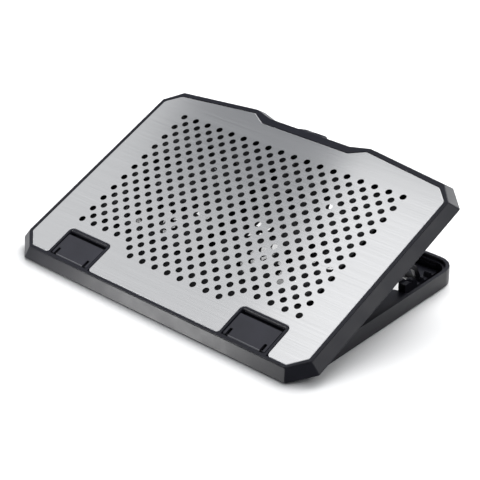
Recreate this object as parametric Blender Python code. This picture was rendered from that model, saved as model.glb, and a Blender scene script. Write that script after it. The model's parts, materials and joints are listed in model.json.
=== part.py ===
"""Laptop cooling pad: a tilting deck that carries two fans, on a ring-shaped base.

Two frames are used, both in millimetres and both with X to the right and Y to the rear.
The base frame has z = 0 at the underside of the rubber feet and y = 0 below the deck's front edge.
The deck frame has Z = 0 on the metal plate and Y = 0 at the plate's front edge; it turns about the
tilt hinge. The last step moves everything so that the origin is under the middle of the whole box.
"""

import math

import bmesh
import bpy
from mathutils import Matrix, Vector
from mathutils.geometry import delaunay_2d_cdt

MM = 0.001
SIDES = {"left": -1, "right": 1}
ARC_STEPS = 2
CUT_OVER = 2.0

# Tilt of the deck and the place of its hinge
TILT = 21.3
HINGE_Y, HINGE_Z = 44.2, 9.4
HINGE_DECK_Y, HINGE_DECK_Z = 34.25, -18.84

# Metal plate: right half of its outline as (x, y, corner radius), front to rear
PLATE_CORNERS = ((162.9, 0, 1.5), (177.2, 14.3, 2.5), (177.2, 218.2, 6), (163.3, 231.3, 6), (71, 242.4, 3), (54.2, 233.2, 4))
PLATE_THICK = 1.2
HOLE_PITCH_X, HOLE_PITCH_Y, HOLE_RADIUS = 16.38, 15.81, 3.0
HOLE_SIDES = 6
HOLE_COLUMNS, HOLE_ROWS = 18, 21
HOLE_TOP_Y = 207.2
EXTRA_ROWS = (9, 8)

# Plastic rim round the plate
RIM_CORNERS = ((164.5, -3.2, 1.5), (181, 13, 1.5), (181, 219.5, 1.8), (164.8, 234.9, 1.8), (72, 245.7, 2.5), (51, 239.9, 3))
RIM_FOLLOW = 0.2
SEAM = 0.3
LIP_Z, LIP_EDGE_Z = 0.35, -0.35
FLARE, FLARE_Z = 8.6, -9.4
RIM_BOTTOM = -10.2
LEDGE_WIDTH, LEDGE_TOP, LEDGE_BOTTOM = 6.0, -1.5, -2.9

# Folding stops at the front
STOP_X, STOP_HALF, STOP_DEPTH = 112.5, 28.5, 35.5
STOP_REAR_RADIUS, STOP_FRONT_RADIUS = 5.0, 4.0
STOP_FLOOR, STOP_POCKET_HALF, STOP_POCKET_REAR, STOP_POCKET_FLOOR = -6.6, 24.9, 31.3, -4.9
FLAP_HALF, FLAP_AXIS_Y, FLAP_AXIS_Z, FLAP_BARREL = 24.5, 2.9, -2.5, 2.1
FLAP_LENGTH, FLAP_UNDER = 25.1, 0.5
FLAP_SLOT = (18.4, 21.8, 7.2)
STOP_PIN_RADIUS, STOP_PIN_HALF = 1.0, 27.3

# Fans
FAN_X, FAN_Y, FAN_HALF, FAN_CORNER = 72.0, 128.0, 64.0, 9.0
FAN_BORE, FAN_BOTTOM, FAN_TOP = 61.0, -18.9, -4.2
FAN_MOUNT_RADIUS, FAN_MOUNT_TOP, FAN_STRUT_HALF = 17.0, -17.3, 2.5
FAN_SIDES = 32
HUB_RADIUS, HUB_WALL, HUB_TOP, HUB_BOTTOM = 18.5, 1.6, -5.0, -16.6
BLADE_COUNT, BLADE_TIP, BLADE_THICK = 7, 59.4, 1.2
BLADE_TOP, BLADE_BOTTOM = -6.3, -15.5
BLADE_SWEEP_ROOT, BLADE_SWEEP_TIP, BLADE_LEAN = 34.0, 40.0, 14.0
BLADE_STATIONS = 3
STATOR_RADIUS, STATOR_TOP, STATOR_BORE = 13.5, -8.0, 4.3
BUSH_RADIUS, BUSH_BORE, BUSH_TOP = 4.0, 1.75, -7.6
SHAFT_RADIUS, SHAFT_TOP = 1.5, -6.5

# Bottom cover and its belly round the fans
PANEL_TOP, PANEL_BOTTOM, PANEL_GROW = -8.2, -10.0, 3.0
BELLY_HALF, BELLY_FRONT, BELLY_REAR, BELLY_CORNER = 138.0, 61.5, 194.5, 10.0
BELLY_WALL, BELLY_BOTTOM, BELLY_FLOOR = 1.6, -21.2, -19.2
GRILLE_RINGS, GRILLE_INNER, GRILLE_STEP, GRILLE_SLOT = 4, 21.0, 10.0, 7.0
GRILLE_SPOKES, GRILLE_SPOKE_HALF, GRILLE_ARC_STEPS = 4, 2.2, 2
COVER_SCREWS = ((170.5, 18), (170.5, 212), (62, 235.5))
BOSS_RADIUS, BOSS_BORE, BOSS_BOTTOM, BOSS_DEEP = 3.3, 1.7, -7.9, 4.0
SCREW_HEAD, SCREW_HEAD_TALL, SCREW_SHANK, SCREW_SINK = 2.9, 0.5, 1.4, 3.4
FAN_SCREW_INSET = 7.0

# Ports and speed dial in the rear notch
PORT_HALF, PORT_PROUD, PORT_TAPER = 17.0, 3.0, 5.0
OUTLET_X, OUTLET_WIDE, OUTLET_LOW, OUTLET_HIGH = 7.0, 13.2, -8.0, -2.3
INLET_X, INLET_WIDE, INLET_LOW, INLET_HIGH = -9.0, 8.4, -6.4, -2.8
SOCKET_REAR, OUTLET_DEEP, INLET_DEEP, SOCKET_SKIN = 244.2, 14.0, 8.0, 0.4
BOARD_LEFT, BOARD_RIGHT, BOARD_FRONT, BOARD_REAR = -42.0, 24.0, 213.0, 236.2
BOARD_LOW, BOARD_HIGH = -7.9, -6.7
DIAL_X, DIAL_Y, DIAL_RADIUS, DIAL_LOW, DIAL_HIGH = -31.0, 234.0, 10.4, -5.9, -3.1
DIAL_TEETH, DIAL_TOOTH = 24, 0.5
DIAL_BORE, DIAL_PIN = 1.8, 1.5
LEAD_RADIUS, LEAD_Z = 0.9, -2.9

# Propping arms
ARM_X, ARM_HALF_WIDE, ARM_HALF_THICK = 159.0, 2.3, 2.3
ARM_PIVOT_Y, ARM_PIVOT_Z, ARM_EYE = 147.0, -12.0, 3.4
ARM_FOOT_Y, ARM_FOOT_Z = 197.5, 13.9
ARM_SHIN, ARM_SHIN_LEAN = 14.0, 27.5
ARM_PIN_RADIUS, ARM_PIN_BORE, ARM_PIN_HALF = 1.6, 1.9, 6.2
ARM_LUG_GAP, ARM_LUG_THICK, ARM_LUG_LOW = 2.8, 3.4, -15.4
ARM_SLOT_HALF, ARM_SLOT_FRONT, ARM_SLOT_REAR = 3.3, 141.5, 224.0

# Tilt hinge
TILT_PIN_RADIUS, TILT_PIN_BORE, TILT_LUG_RADIUS = 2.5, 2.8, 7.0
TILT_LUG_IN, TILT_LUG_OUT = 160.6, 166.6
KNUCKLE_IN, KNUCKLE_GAP, KNUCKLE_REAR, KNUCKLE_RADIUS = 151.0, 0.6, 57.0, 8.2
TILT_PIN_IN, TILT_PIN_OUT, TILT_BORE_OUT = 151.4, 174.6, 175.0

# Base ring
BASE_HALF, BASE_FRONT, BASE_REAR, BASE_CORNER = 178.0, 36.0, 236.5, 20.0
BASE_LOW, BASE_HIGH = 1.2, 17.6
WALL_THICK, STEP_THICK, STEP_HIGH = 3.5, 6.5, 14.2
WEB_LOW, WEB_HIGH = 3.8, 6.3
OPENING_FRONT, OPENING_HALF, OPENING_JOG, OPENING_REAR, OPENING_LIP = 69.0, 141.0, 172.0, 209.0, 2.2
RACK_IN, RACK_OUT, RACK_FRONT = 156.2, 161.8, 175.6
RACK_WALL_IN, RACK_WALL_REAR = 153.9, 224.0
POCKET_OUT, POCKET_REAR, POCKET_FLOOR = 170.0, 227.0, 2.6
TOOTH_Y, TOOTH_HIGH, STOP_BLOCK_HIGH, SHOULDER_HIGH = (203.3, 215.0), 11.0, 14.8, 14.2
REAR_WALL_Y, REAR_WALL_HALF, REAR_WALL_HIGH = 228.3, 158.0, 11.5
FOOT_RADIUS, FOOT_HIGH, FOOT_RECESS, FOOT_BOSS = 8.0, 2.3, 2.6, 11.0
FOOT_SPOTS = {"front": (158.0, 72.0), "rear": (128.0, 218.2)}

COLORS = {
    "brushed_aluminium": ((0.80, 0.81, 0.82), 0.34, 1.0),
    "black_plastic": ((0.035, 0.036, 0.040), 0.42, 0.0),
    "grey_black_plastic": ((0.075, 0.075, 0.085), 0.45, 0.0),
    "fan_plastic": ((0.050, 0.050, 0.055), 0.50, 0.0),
    "steel": ((0.60, 0.60, 0.62), 0.30, 1.0),
    "zinc_screw": ((0.32, 0.32, 0.34), 0.35, 1.0),
    "bronze": ((0.55, 0.38, 0.20), 0.40, 1.0),
    "copper_winding": ((0.62, 0.28, 0.12), 0.40, 1.0),
    "circuit_board": ((0.04, 0.16, 0.08), 0.50, 0.0),
    "rubber": ((0.025, 0.025, 0.027), 0.85, 0.0),
    "lead_jacket": ((0.03, 0.03, 0.03), 0.55, 0.0),
}


def clear_scene():
    for old in list(bpy.data.objects):
        bpy.data.objects.remove(old, do_unlink=True)


def material(name):
    """The Principled material of this name, made on first use."""
    found = bpy.data.materials.get(name)
    if found:
        return found
    color, roughness, metallic = COLORS[name]
    made = bpy.data.materials.new(name)
    made.use_nodes = True
    shader = made.node_tree.nodes["Principled BSDF"]
    shader.inputs["Base Color"].default_value = (*color, 1)
    shader.inputs["Roughness"].default_value = roughness
    shader.inputs["Metallic"].default_value = metallic
    return made


# ---------------------------------------------------------------- outlines


def mirrored(half):
    """A closed outline from its right half, front to rear, so it runs anticlockwise seen from above."""
    return list(half) + [(-x, y, r) for x, y, r in reversed(half)]


def grown(corners, distance, follow=1.0):
    """The corners moved outward by distance, with each radius changed by a share of it."""
    moved = []
    for i, (x, y, radius) in enumerate(corners):
        before, after = Vector(corners[i - 1][:2]), Vector(corners[(i + 1) % len(corners)][:2])
        here = Vector((x, y))
        into, out = (here - before).normalized(), (after - here).normalized()
        normal_in, normal_out = Vector((into.y, -into.x)), Vector((out.y, -out.x))
        shift = (normal_in + normal_out) * (distance / (1 + normal_in.dot(normal_out)))
        change = distance * follow * (1 if into.cross(out) > 0 else -1)
        moved.append((x + shift.x, y + shift.y, max(radius + change, 0.4)))
    return moved


def rounded(corners, steps=ARC_STEPS):
    """The points of a closed outline, with an arc of the corner's radius at each corner."""
    points = []
    for i, (x, y, radius) in enumerate(corners):
        here = Vector((x, y))
        into = (Vector(corners[i - 1][:2]) - here).normalized()
        out = (Vector(corners[(i + 1) % len(corners)][:2]) - here).normalized()
        half_angle = math.acos(max(-1, min(1, into.dot(out)))) / 2
        centre = here + (into + out).normalized() * (radius / math.sin(half_angle))
        start = here + into * (radius / math.tan(half_angle)) - centre
        turn = math.pi - 2 * half_angle
        sense = 1 if into.cross(out) < 0 else -1
        for k in range(steps + 1):
            points.append(tuple(centre + Matrix.Rotation(sense * turn * k / steps, 2) @ start))
    return points


def box_outline(x0, x1, y0, y1, radius=0.0):
    corners = [(x0, y0, radius), (x1, y0, radius), (x1, y1, radius), (x0, y1, radius)]
    return rounded(corners) if radius else [corner[:2] for corner in corners]


def circle(x, y, radius, sides, phase=0.0):
    turn = 2 * math.pi / sides
    return [(x + radius * math.cos(phase + turn * k), y + radius * math.sin(phase + turn * k)) for k in range(sides)]


def arc(x, y, radius, first, last, steps):
    """Points on an arc, with both angles in degrees."""
    angles = [math.radians(first + (last - first) * k / steps) for k in range(steps + 1)]
    return [(x + radius * math.cos(a), y + radius * math.sin(a)) for a in angles]


# ---------------------------------------------------------------- solids


def twisted(face):
    """Whether the face's corners are out of one plane."""
    middle = face.calc_center_median()
    return any(abs((vert.co - middle).dot(face.normal)) > 1e-7 for vert in face.verts)


def new_object(name, vertices, faces, finish=None):
    """A closed mesh object, its normals outward, from vertices in millimetres."""
    mesh = bpy.data.meshes.new(name)
    build = bmesh.new()
    made = [build.verts.new(Vector(v) * MM) for v in vertices]
    for face in faces:
        build.faces.new([made[i] for i in face])
    bmesh.ops.recalc_face_normals(build, faces=build.faces)
    bmesh.ops.triangulate(build, faces=[face for face in build.faces if twisted(face)])
    build.to_mesh(mesh)
    build.free()
    obj = bpy.data.objects.new(name, mesh)
    bpy.context.scene.collection.objects.link(obj)
    if finish:
        mesh.materials.append(material(finish))
    return obj


def upright(point, level):
    return (point[0], point[1], level)


def across(point, level):
    return (level, point[0], point[1])


def signed_area(loop):
    return sum(x0 * y1 - x1 * y0 for (x0, y0), (x1, y1) in zip(loop, loop[1:] + loop[:1])) / 2


def triangles_between(loops):
    """Triangles that fill the first loop but none of the others, as indices into all their points."""
    flat, faces = [], []
    for loop in loops:
        order = list(range(len(flat), len(flat) + len(loop)))
        faces.append(order if signed_area(loop) > 0 else order[::-1])
        flat += [Vector(point) for point in loop]
    _, _, triangles, points_from, _, faces_from = delaunay_2d_cdt(flat, [], faces, 1, 1e-6)
    return [tuple(points_from[i][0] for i in tri) for tri, inside in zip(triangles, faces_from) if list(inside) == [0]]


def slab(name, outline, low, high, holes=(), finish=None, place=upright):
    """An outline with holes, extruded from low to high along Z, or along X with place=across."""
    loops = [list(outline)] + [list(hole) for hole in holes]
    flat = [point for loop in loops for point in loop]
    count = len(flat)
    caps = triangles_between(loops)
    vertices = [place(point, low) for point in flat] + [place(point, high) for point in flat]
    faces = [tuple(cap) for cap in caps] + [tuple(i + count for i in cap) for cap in caps]
    start = 0
    for loop in loops:
        size = len(loop)
        for k in range(size):
            a, b = start + k, start + (k + 1) % size
            faces.append((a, b, b + count, a + count))
        start += size
    return new_object(name, vertices, faces, finish)


def tube_of_loops(name, loops, finish=None):
    """A ring-shaped solid: each loop is joined to the next, and the last to the first."""
    size = len(loops[0])
    faces = []
    for i in range(len(loops)):
        low, high = i * size, (i + 1) % len(loops) * size
        for k in range(size):
            after = (k + 1) % size
            faces.append((low + k, low + after, high + after, high + k))
    return new_object(name, [point for loop in loops for point in loop], faces, finish)


def stack_of_loops(name, loops, finish=None):
    """A solid through matching loops, closed by a face at each end."""
    size = len(loops[0])
    faces = [tuple(range(size)), tuple(range((len(loops) - 1) * size, len(loops) * size))]
    for i in range(len(loops) - 1):
        for k in range(size):
            after = (k + 1) % size
            faces.append((i * size + k, i * size + after, (i + 1) * size + after, (i + 1) * size + k))
    return new_object(name, [point for loop in loops for point in loop], faces, finish)


def turned(name, x, y, profile, sides, finish=None):
    """A solid turned about the vertical line at (x, y), from a closed (radius, z) profile."""
    loops = []
    for k in range(sides):
        angle = 2 * math.pi * k / sides
        loops.append([(x + r * math.cos(angle), y + r * math.sin(angle), z) for r, z in profile])
    return tube_of_loops(name, loops, finish)


def rod(name, y, z, radius, x0, x1, sides=12, finish=None):
    """A round bar along X."""
    return slab(name, circle(y, z, radius, sides), x0, x1, finish=finish, place=across)


def post(name, x, y, radius, low, high, sides=12, finish=None):
    """A round bar along Z."""
    return slab(name, circle(x, y, radius, sides), low, high, finish=finish)


def combine(body, others, operation):
    """body with all the others joined to it or cut from it at once; the others are used up."""
    group = bpy.data.collections.new("operands")
    for other in others:
        group.objects.link(other)
    step = body.modifiers.new(operation.lower(), "BOOLEAN")
    step.operation = operation
    step.solver = "EXACT"
    step.operand_type = "COLLECTION"
    step.collection = group
    bpy.context.view_layer.update()
    result = bpy.data.meshes.new_from_object(body.evaluated_get(bpy.context.evaluated_depsgraph_get()))
    body.modifiers.clear()
    body.data = result
    for other in list(others):
        bpy.data.objects.remove(other, do_unlink=True)
    bpy.data.collections.remove(group)
    return body


def join(body, *others):
    return combine(body, others, "UNION")


def cut(body, *others):
    return combine(body, others, "DIFFERENCE")


def smooth(obj, angle=35):
    obj.data.shade_smooth()
    obj.data.set_sharp_from_angle(angle=math.radians(angle))


def hang_on(obj, parent, x=0.0, y=0.0, z=0.0):
    """Parents the object and puts its own origin, which is on its joint's axis, at the given place."""
    obj.parent = parent
    obj.location = Vector((x, y, z)) * MM
    return obj


# ---------------------------------------------------------------- deck


def to_deck(y, z):
    """A base-frame point in the plane of the side, in the deck frame."""
    turn = math.radians(TILT)
    dy, dz = y - HINGE_Y, z - HINGE_Z
    return (
        HINGE_DECK_Y + dy * math.cos(turn) + dz * math.sin(turn),
        HINGE_DECK_Z - dy * math.sin(turn) + dz * math.cos(turn),
    )


def hole_centres():
    """The staggered grid: full and offset rows in turn, then two short rows between the stops."""
    centres = []
    for row in range(HOLE_ROWS):
        count = HOLE_COLUMNS - row % 2
        centres += row_of_holes(row, count)
    for extra, count in enumerate(EXTRA_ROWS):
        centres += row_of_holes(HOLE_ROWS + extra, count)
    return centres


def row_of_holes(row, count):
    y = HOLE_TOP_Y - row * HOLE_PITCH_Y / 2
    return [((k - (count - 1) / 2) * HOLE_PITCH_X, y) for k in range(count)]


def top_plate():
    inner, outer = STOP_X - STOP_HALF, STOP_X + STOP_HALF
    notch = (
        (inner, 0, STOP_FRONT_RADIUS),
        (inner, STOP_DEPTH, STOP_REAR_RADIUS),
        (outer, STOP_DEPTH, STOP_REAR_RADIUS),
        (outer, 0, STOP_FRONT_RADIUS),
    )
    outline = rounded(mirrored(notch + PLATE_CORNERS))
    holes = [circle(x, y, HOLE_RADIUS, HOLE_SIDES) for x, y in hole_centres()]
    return slab("top_plate", outline, -PLATE_THICK, 0, holes, "brushed_aluminium")


def rim_outline(grow):
    return rounded(grown(mirrored(RIM_CORNERS), grow, RIM_FOLLOW))


def rim_loop(grow, level):
    return [upright(point, level) for point in rim_outline(grow)]


def plate_loop(grow, level):
    return [upright(point, level) for point in rounded(grown(mirrored(PLATE_CORNERS), grow))]


def rim_wall_y(level):
    """Y of the outer rim wall in the rear notch, at a height."""
    share = (LIP_EDGE_Z - level) / (LIP_EDGE_Z - FLARE_Z)
    return RIM_CORNERS[-1][1] + FLARE * share


def port_housing():
    """The low bulge on the rear notch's wall, round the sockets."""

    def section(level):
        rear = rim_wall_y(level)
        inner = PORT_HALF - PORT_TAPER
        points = [(-PORT_HALF, rear - 4), (PORT_HALF, rear - 4), (PORT_HALF, rear - 0.5)]
        points += [(inner, rear + PORT_PROUD), (-inner, rear + PORT_PROUD), (-PORT_HALF, rear - 0.5)]
        return [upright(point, level) for point in points]

    return stack_of_loops("port_housing", [section(FLARE_Z + 0.2), section(LIP_EDGE_Z - 1.0)])


def deck_frame():
    frame = tube_of_loops(
        "deck_frame",
        [
            plate_loop(SEAM, LIP_Z),
            rim_loop(-0.6, LIP_Z),
            rim_loop(0, LIP_EDGE_Z),
            rim_loop(FLARE, FLARE_Z),
            rim_loop(FLARE - 0.6, RIM_BOTTOM),
            rim_loop(FLARE - 3.0, RIM_BOTTOM),
            rim_loop(-2.0, LEDGE_BOTTOM),
            plate_loop(-LEDGE_WIDTH, LEDGE_BOTTOM),
            plate_loop(-LEDGE_WIDTH, LEDGE_TOP),
            plate_loop(SEAM, LEDGE_TOP),
        ],
        "black_plastic",
    )
    join(frame, port_housing(), *stop_blocks(), *cover_bosses())
    cut(frame, *stop_pockets(), *port_holes())
    return frame


def stop_blocks():
    """The solid surround of each stop, which fills its notch in the plate."""
    half, rear = STOP_HALF - SEAM, STOP_DEPTH - SEAM
    blocks = []
    for side in SIDES.values():
        x0, x1 = side * STOP_X - half, side * STOP_X + half
        shape = [(x0, -1.75, 0.5), (x1, -1.75, 0.5), (x1, rear, STOP_REAR_RADIUS), (x0, rear, STOP_REAR_RADIUS)]
        blocks.append(slab("stop_block", rounded(shape), STOP_FLOOR, LIP_Z - 0.02))
    return blocks


def stop_pockets():
    """The hollow under each flap, and the bore for its pin."""
    cutters = []
    for side in SIDES.values():
        x0, x1 = side * STOP_X - STOP_POCKET_HALF, side * STOP_X + STOP_POCKET_HALF
        pocket = box_outline(x0, x1, SEAM, STOP_POCKET_REAR, 0.6)
        cutters.append(slab("stop_pocket", pocket, STOP_POCKET_FLOOR, CUT_OVER))
        reach = STOP_HALF - 0.9
        x0, x1 = side * STOP_X - reach, side * STOP_X + reach
        cutters.append(rod("pin_bore", FLAP_AXIS_Y, FLAP_AXIS_Z, STOP_PIN_RADIUS + 0.3, x0, x1))
    return cutters


def cover_bosses():
    """A blind-bored post under the ledge for each screw of the bottom cover."""
    top = BOSS_BOTTOM + BOSS_DEEP
    bosses = []
    for x, y in screw_spots():
        sleeve = slab(
            "boss_sleeve",
            circle(x, y, BOSS_RADIUS, 12),
            BOSS_BOTTOM,
            top,
            [circle(x, y, BOSS_BORE, 12)],
        )
        bosses += [sleeve, post("boss_top", x, y, BOSS_RADIUS + 0.4, top - 0.4, LEDGE_BOTTOM + 0.7)]
    return bosses


def port_holes():
    front, rear = SOCKET_REAR - OUTLET_DEEP - 3.5, SOCKET_REAR + 14
    outlet = box_outline(OUTLET_X - OUTLET_WIDE / 2 - SEAM, OUTLET_X + OUTLET_WIDE / 2 + SEAM, front, rear)
    inlet = box_outline(INLET_X - INLET_WIDE / 2 - SEAM, INLET_X + INLET_WIDE / 2 + SEAM, front, rear)
    dial_room = circle(DIAL_X, DIAL_Y, DIAL_RADIUS + 1.1, 16)
    return [
        slab("outlet_hole", outlet, OUTLET_LOW - SEAM, OUTLET_HIGH + SEAM),
        slab("inlet_hole", inlet, INLET_LOW - SEAM, INLET_HIGH + SEAM),
        slab("dial_hole", dial_room, DIAL_LOW - SEAM, DIAL_HIGH + SEAM),
    ]


def screw_spots():
    return [(side * x, y) for x, y in COVER_SCREWS for side in SIDES.values()]


def stop_flap(name):
    """The flap lies flat with its barrel at the front; its origin is on the barrel's axis."""
    barrel = arc(0, 0, FLAP_BARREL, 90, 270, 6)
    under = [(1.3, -1.6), (2.3, -FLAP_UNDER), (FLAP_LENGTH, -FLAP_UNDER), (FLAP_LENGTH, 1.4)]
    profile = barrel + under + [(FLAP_LENGTH - 0.7, FLAP_BARREL)]
    flap = slab(name, profile, -FLAP_HALF, FLAP_HALF, finish="black_plastic", place=across)
    slot_in, slot_out, slot_rear = FLAP_SLOT
    cutters = [rod("flap_bore", 0, 0, STOP_PIN_RADIUS + 0.2, -FLAP_HALF - CUT_OVER, FLAP_HALF + CUT_OVER)]
    for side in SIDES.values():
        x0, x1 = sorted((side * slot_in, side * slot_out))
        slot = box_outline(x0, x1, -FLAP_BARREL - CUT_OVER, slot_rear)
        cutters.append(slab("flap_slot", slot, -FLAP_BARREL - CUT_OVER, FLAP_BARREL + CUT_OVER))
    return cut(flap, *cutters)


# ---------------------------------------------------------------- fans


def fan_frame(name, x):
    square = box_outline(x - FAN_HALF, x + FAN_HALF, FAN_Y - FAN_HALF, FAN_Y + FAN_HALF, FAN_CORNER)
    frame = slab(name, square, FAN_BOTTOM, FAN_TOP, [circle(x, FAN_Y, FAN_BORE, FAN_SIDES)], "fan_plastic")
    reach = FAN_BORE + 1.5
    adds = [post("motor_mount", x, FAN_Y, FAN_MOUNT_RADIUS, FAN_BOTTOM + 0.1, FAN_MOUNT_TOP, 20)]
    for quarter in range(4):
        bar = box_outline(FAN_MOUNT_RADIUS - 2, reach, -FAN_STRUT_HALF, FAN_STRUT_HALF)
        strut = slab("strut", bar, FAN_BOTTOM + 0.15, FAN_MOUNT_TOP - 0.1)
        turn = Matrix.Rotation(math.radians(45 + 90 * quarter), 4, "Z")
        strut.data.transform(Matrix.Translation(Vector((x, FAN_Y, 0)) * MM) @ turn)
        adds.append(strut)
    join(frame, *adds)
    bottom = FAN_BOTTOM - CUT_OVER
    spots = fan_screw_offsets()
    return cut(frame, *(post("hole", x + dx, FAN_Y + dy, SCREW_SHANK + 0.4, bottom, FAN_BOTTOM + 8, 8) for dx, dy in spots))


def blade(index):
    """One swept, twisted blade round the origin, rooted inside the hub's wall."""
    mid = (BLADE_TOP + BLADE_BOTTOM) / 2
    half = (BLADE_TOP - BLADE_BOTTOM) / 2
    loops = []
    for k in range(BLADE_STATIONS + 1):
        share = k / BLADE_STATIONS
        radius = HUB_RADIUS - 0.8 + (BLADE_TIP - HUB_RADIUS + 0.8) * share
        sweep = math.radians(360 / BLADE_COUNT * index + BLADE_LEAN * share * share)
        chord = math.radians(BLADE_SWEEP_ROOT + (BLADE_SWEEP_TIP - BLADE_SWEEP_ROOT) * share) / 2
        rise = half * (1 - 0.25 * share)
        skin = BLADE_THICK / 2
        section = ((-1, -rise, skin), (0, -0.8, skin), (1, rise, skin), (1, rise, -skin), (0, -0.8, -skin), (-1, -rise, -skin))
        loop = []
        for where, height, offset in section:
            angle = sweep + chord * where
            loop.append((radius * math.cos(angle), radius * math.sin(angle), mid + height + offset))
        loops.append(loop)
    return stack_of_loops("blade", loops)


def impeller(name):
    """Hub cup over the motor, with the blades round it."""
    cup = [
        (BUSH_BORE + 0.1, HUB_TOP - 1.2),
        (HUB_RADIUS - HUB_WALL, HUB_TOP - 1.2),
        (HUB_RADIUS - HUB_WALL, HUB_BOTTOM),
        (HUB_RADIUS, HUB_BOTTOM),
        (HUB_RADIUS, HUB_TOP - 0.8),
        (HUB_RADIUS - 0.8, HUB_TOP),
        (BUSH_BORE + 0.1, HUB_TOP),
    ]
    hub = turned(name, 0, 0, cup, 28, "fan_plastic")
    cap = post("hub_cap", 0, 0, BUSH_BORE + 1.5, HUB_TOP - 1.1, HUB_TOP - 0.1, 12)
    return join(hub, cap, *(blade(index) for index in range(BLADE_COUNT)))


def fan_motor(side_name, x):
    stator = turned(
        f"fan_stator_{side_name}",
        x,
        FAN_Y,
        [
            (STATOR_BORE, FAN_MOUNT_TOP + SEAM),
            (STATOR_RADIUS, FAN_MOUNT_TOP + SEAM),
            (STATOR_RADIUS, STATOR_TOP),
            (STATOR_BORE, STATOR_TOP),
        ],
        20,
        "copper_winding",
    )
    bush = turned(
        f"fan_bush_{side_name}",
        x,
        FAN_Y,
        [
            (BUSH_BORE, FAN_MOUNT_TOP + SEAM),
            (BUSH_RADIUS, FAN_MOUNT_TOP + SEAM),
            (BUSH_RADIUS, BUSH_TOP),
            (BUSH_BORE, BUSH_TOP),
        ],
        16,
        "bronze",
    )
    return stator, bush


# ---------------------------------------------------------------- bottom cover


def grille_slots(x):
    """Curved slots in rings under one fan, broken by the spokes."""
    cutters = []
    for ring in range(GRILLE_RINGS):
        inner = GRILLE_INNER + ring * GRILLE_STEP
        outer = inner + GRILLE_SLOT
        for spoke in range(GRILLE_SPOKES):
            first = 360 / GRILLE_SPOKES * spoke
            last = first + 360 / GRILLE_SPOKES
            trim_in = math.degrees(GRILLE_SPOKE_HALF / inner)
            trim_out = math.degrees(GRILLE_SPOKE_HALF / outer)
            edge_in = arc(x, FAN_Y, inner, first + trim_in, last - trim_in, GRILLE_ARC_STEPS)
            edge_out = arc(x, FAN_Y, outer, first + trim_out, last - trim_out, GRILLE_ARC_STEPS)
            cutters.append(edge_out + edge_in[::-1])
    return cutters


def belly_outline(inset):
    return box_outline(
        -BELLY_HALF + inset, BELLY_HALF - inset, BELLY_FRONT + inset, BELLY_REAR - inset, BELLY_CORNER - inset
    )


def tilt_lug(side):
    """The ear that hangs from the panel round the tilt pin."""
    x0, x1 = sorted((side * TILT_LUG_IN, side * TILT_LUG_OUT))
    ear = arc(HINGE_DECK_Y, HINGE_DECK_Z, TILT_LUG_RADIUS, -180, 0, 8)
    ear += [(HINGE_DECK_Y + TILT_LUG_RADIUS + 2, PANEL_TOP - 0.4), (HINGE_DECK_Y - TILT_LUG_RADIUS - 2, PANEL_TOP - 0.4)]
    return slab("tilt_lug", ear, x0, x1, place=across)


def arm_lug(x0, x1):
    half = ARM_EYE
    ear = [(ARM_PIVOT_Y - half - 1.5, PANEL_TOP - 0.4), (ARM_PIVOT_Y - half, ARM_LUG_LOW), (ARM_PIVOT_Y + half, ARM_LUG_LOW)]
    ear += [(ARM_PIVOT_Y + half + 1.5, PANEL_TOP - 0.4)]
    return slab("arm_lug", ear, x0, x1, place=across)


def bottom_cover():
    """Panel and belly in one moulding, with a grille under each fan."""
    opening = belly_outline(BELLY_WALL)
    holes = [opening]
    for side in SIDES.values():
        x = side * ARM_X
        holes.append(box_outline(x - ARM_SLOT_HALF, x + ARM_SLOT_HALF, ARM_SLOT_FRONT, ARM_SLOT_REAR, 1.0))
    cover = slab("bottom_cover", rim_outline(PANEL_GROW), PANEL_BOTTOM, PANEL_TOP, holes, "black_plastic")
    slots = grille_slots(-FAN_X) + grille_slots(FAN_X)
    adds = [
        slab("belly_wall", belly_outline(0), BELLY_FLOOR - 0.4, PANEL_TOP - 0.3, [opening]),
        slab("belly_floor", belly_outline(0.05), BELLY_BOTTOM, BELLY_FLOOR, slots),
    ]
    for side in SIDES.values():
        adds.append(tilt_lug(side))
        for inner in (-1, 1):
            near = side * ARM_X + inner * ARM_LUG_GAP
            far = near + inner * ARM_LUG_THICK
            adds.append(arm_lug(min(near, far), max(near, far)))
    join(cover, *adds)
    return cut(cover, *cover_bores())


def cover_bores():
    cutters = []
    for side in SIDES.values():
        x0, x1 = sorted((side * (TILT_LUG_IN - CUT_OVER), side * (TILT_LUG_OUT + CUT_OVER)))
        cutters.append(rod("tilt_bore", HINGE_DECK_Y, HINGE_DECK_Z, TILT_PIN_BORE, x0, x1, 16))
        reach = ARM_LUG_GAP + ARM_LUG_THICK + CUT_OVER
        x0, x1 = side * ARM_X - reach, side * ARM_X + reach
        cutters.append(rod("arm_bore", ARM_PIVOT_Y, ARM_PIVOT_Z, ARM_PIN_BORE, x0, x1))
        for dx, dy in fan_screw_offsets():
            low, high = BELLY_BOTTOM - CUT_OVER, BELLY_FLOOR + CUT_OVER
            cutters.append(post("hole", side * FAN_X + dx, FAN_Y + dy, SCREW_SHANK + 0.4, low, high, 8))
    for x, y in screw_spots():
        low, high = PANEL_BOTTOM - CUT_OVER, PANEL_TOP + CUT_OVER
        cutters.append(post("hole", x, y, SCREW_SHANK + 0.4, low, high, 8))
    return cutters


def fan_screw_offsets():
    inset = FAN_HALF - FAN_SCREW_INSET
    return ((-inset, -inset), (inset, inset))


def screw(name, x, y, under_head, length):
    """A screw driven upward: a chamfered head, then the shank."""
    head = under_head - SCREW_HEAD_TALL
    stations = (
        (SCREW_HEAD - 0.2, head),
        (SCREW_HEAD, head + 0.2),
        (SCREW_HEAD, under_head),
        (SCREW_SHANK, under_head + 0.01),
        (SCREW_SHANK, under_head + length),
    )
    loops = [[upright(point, level) for point in circle(x, y, radius, 8)] for radius, level in stations]
    return stack_of_loops(name, loops, "zinc_screw")


# ---------------------------------------------------------------- electrics


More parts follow.
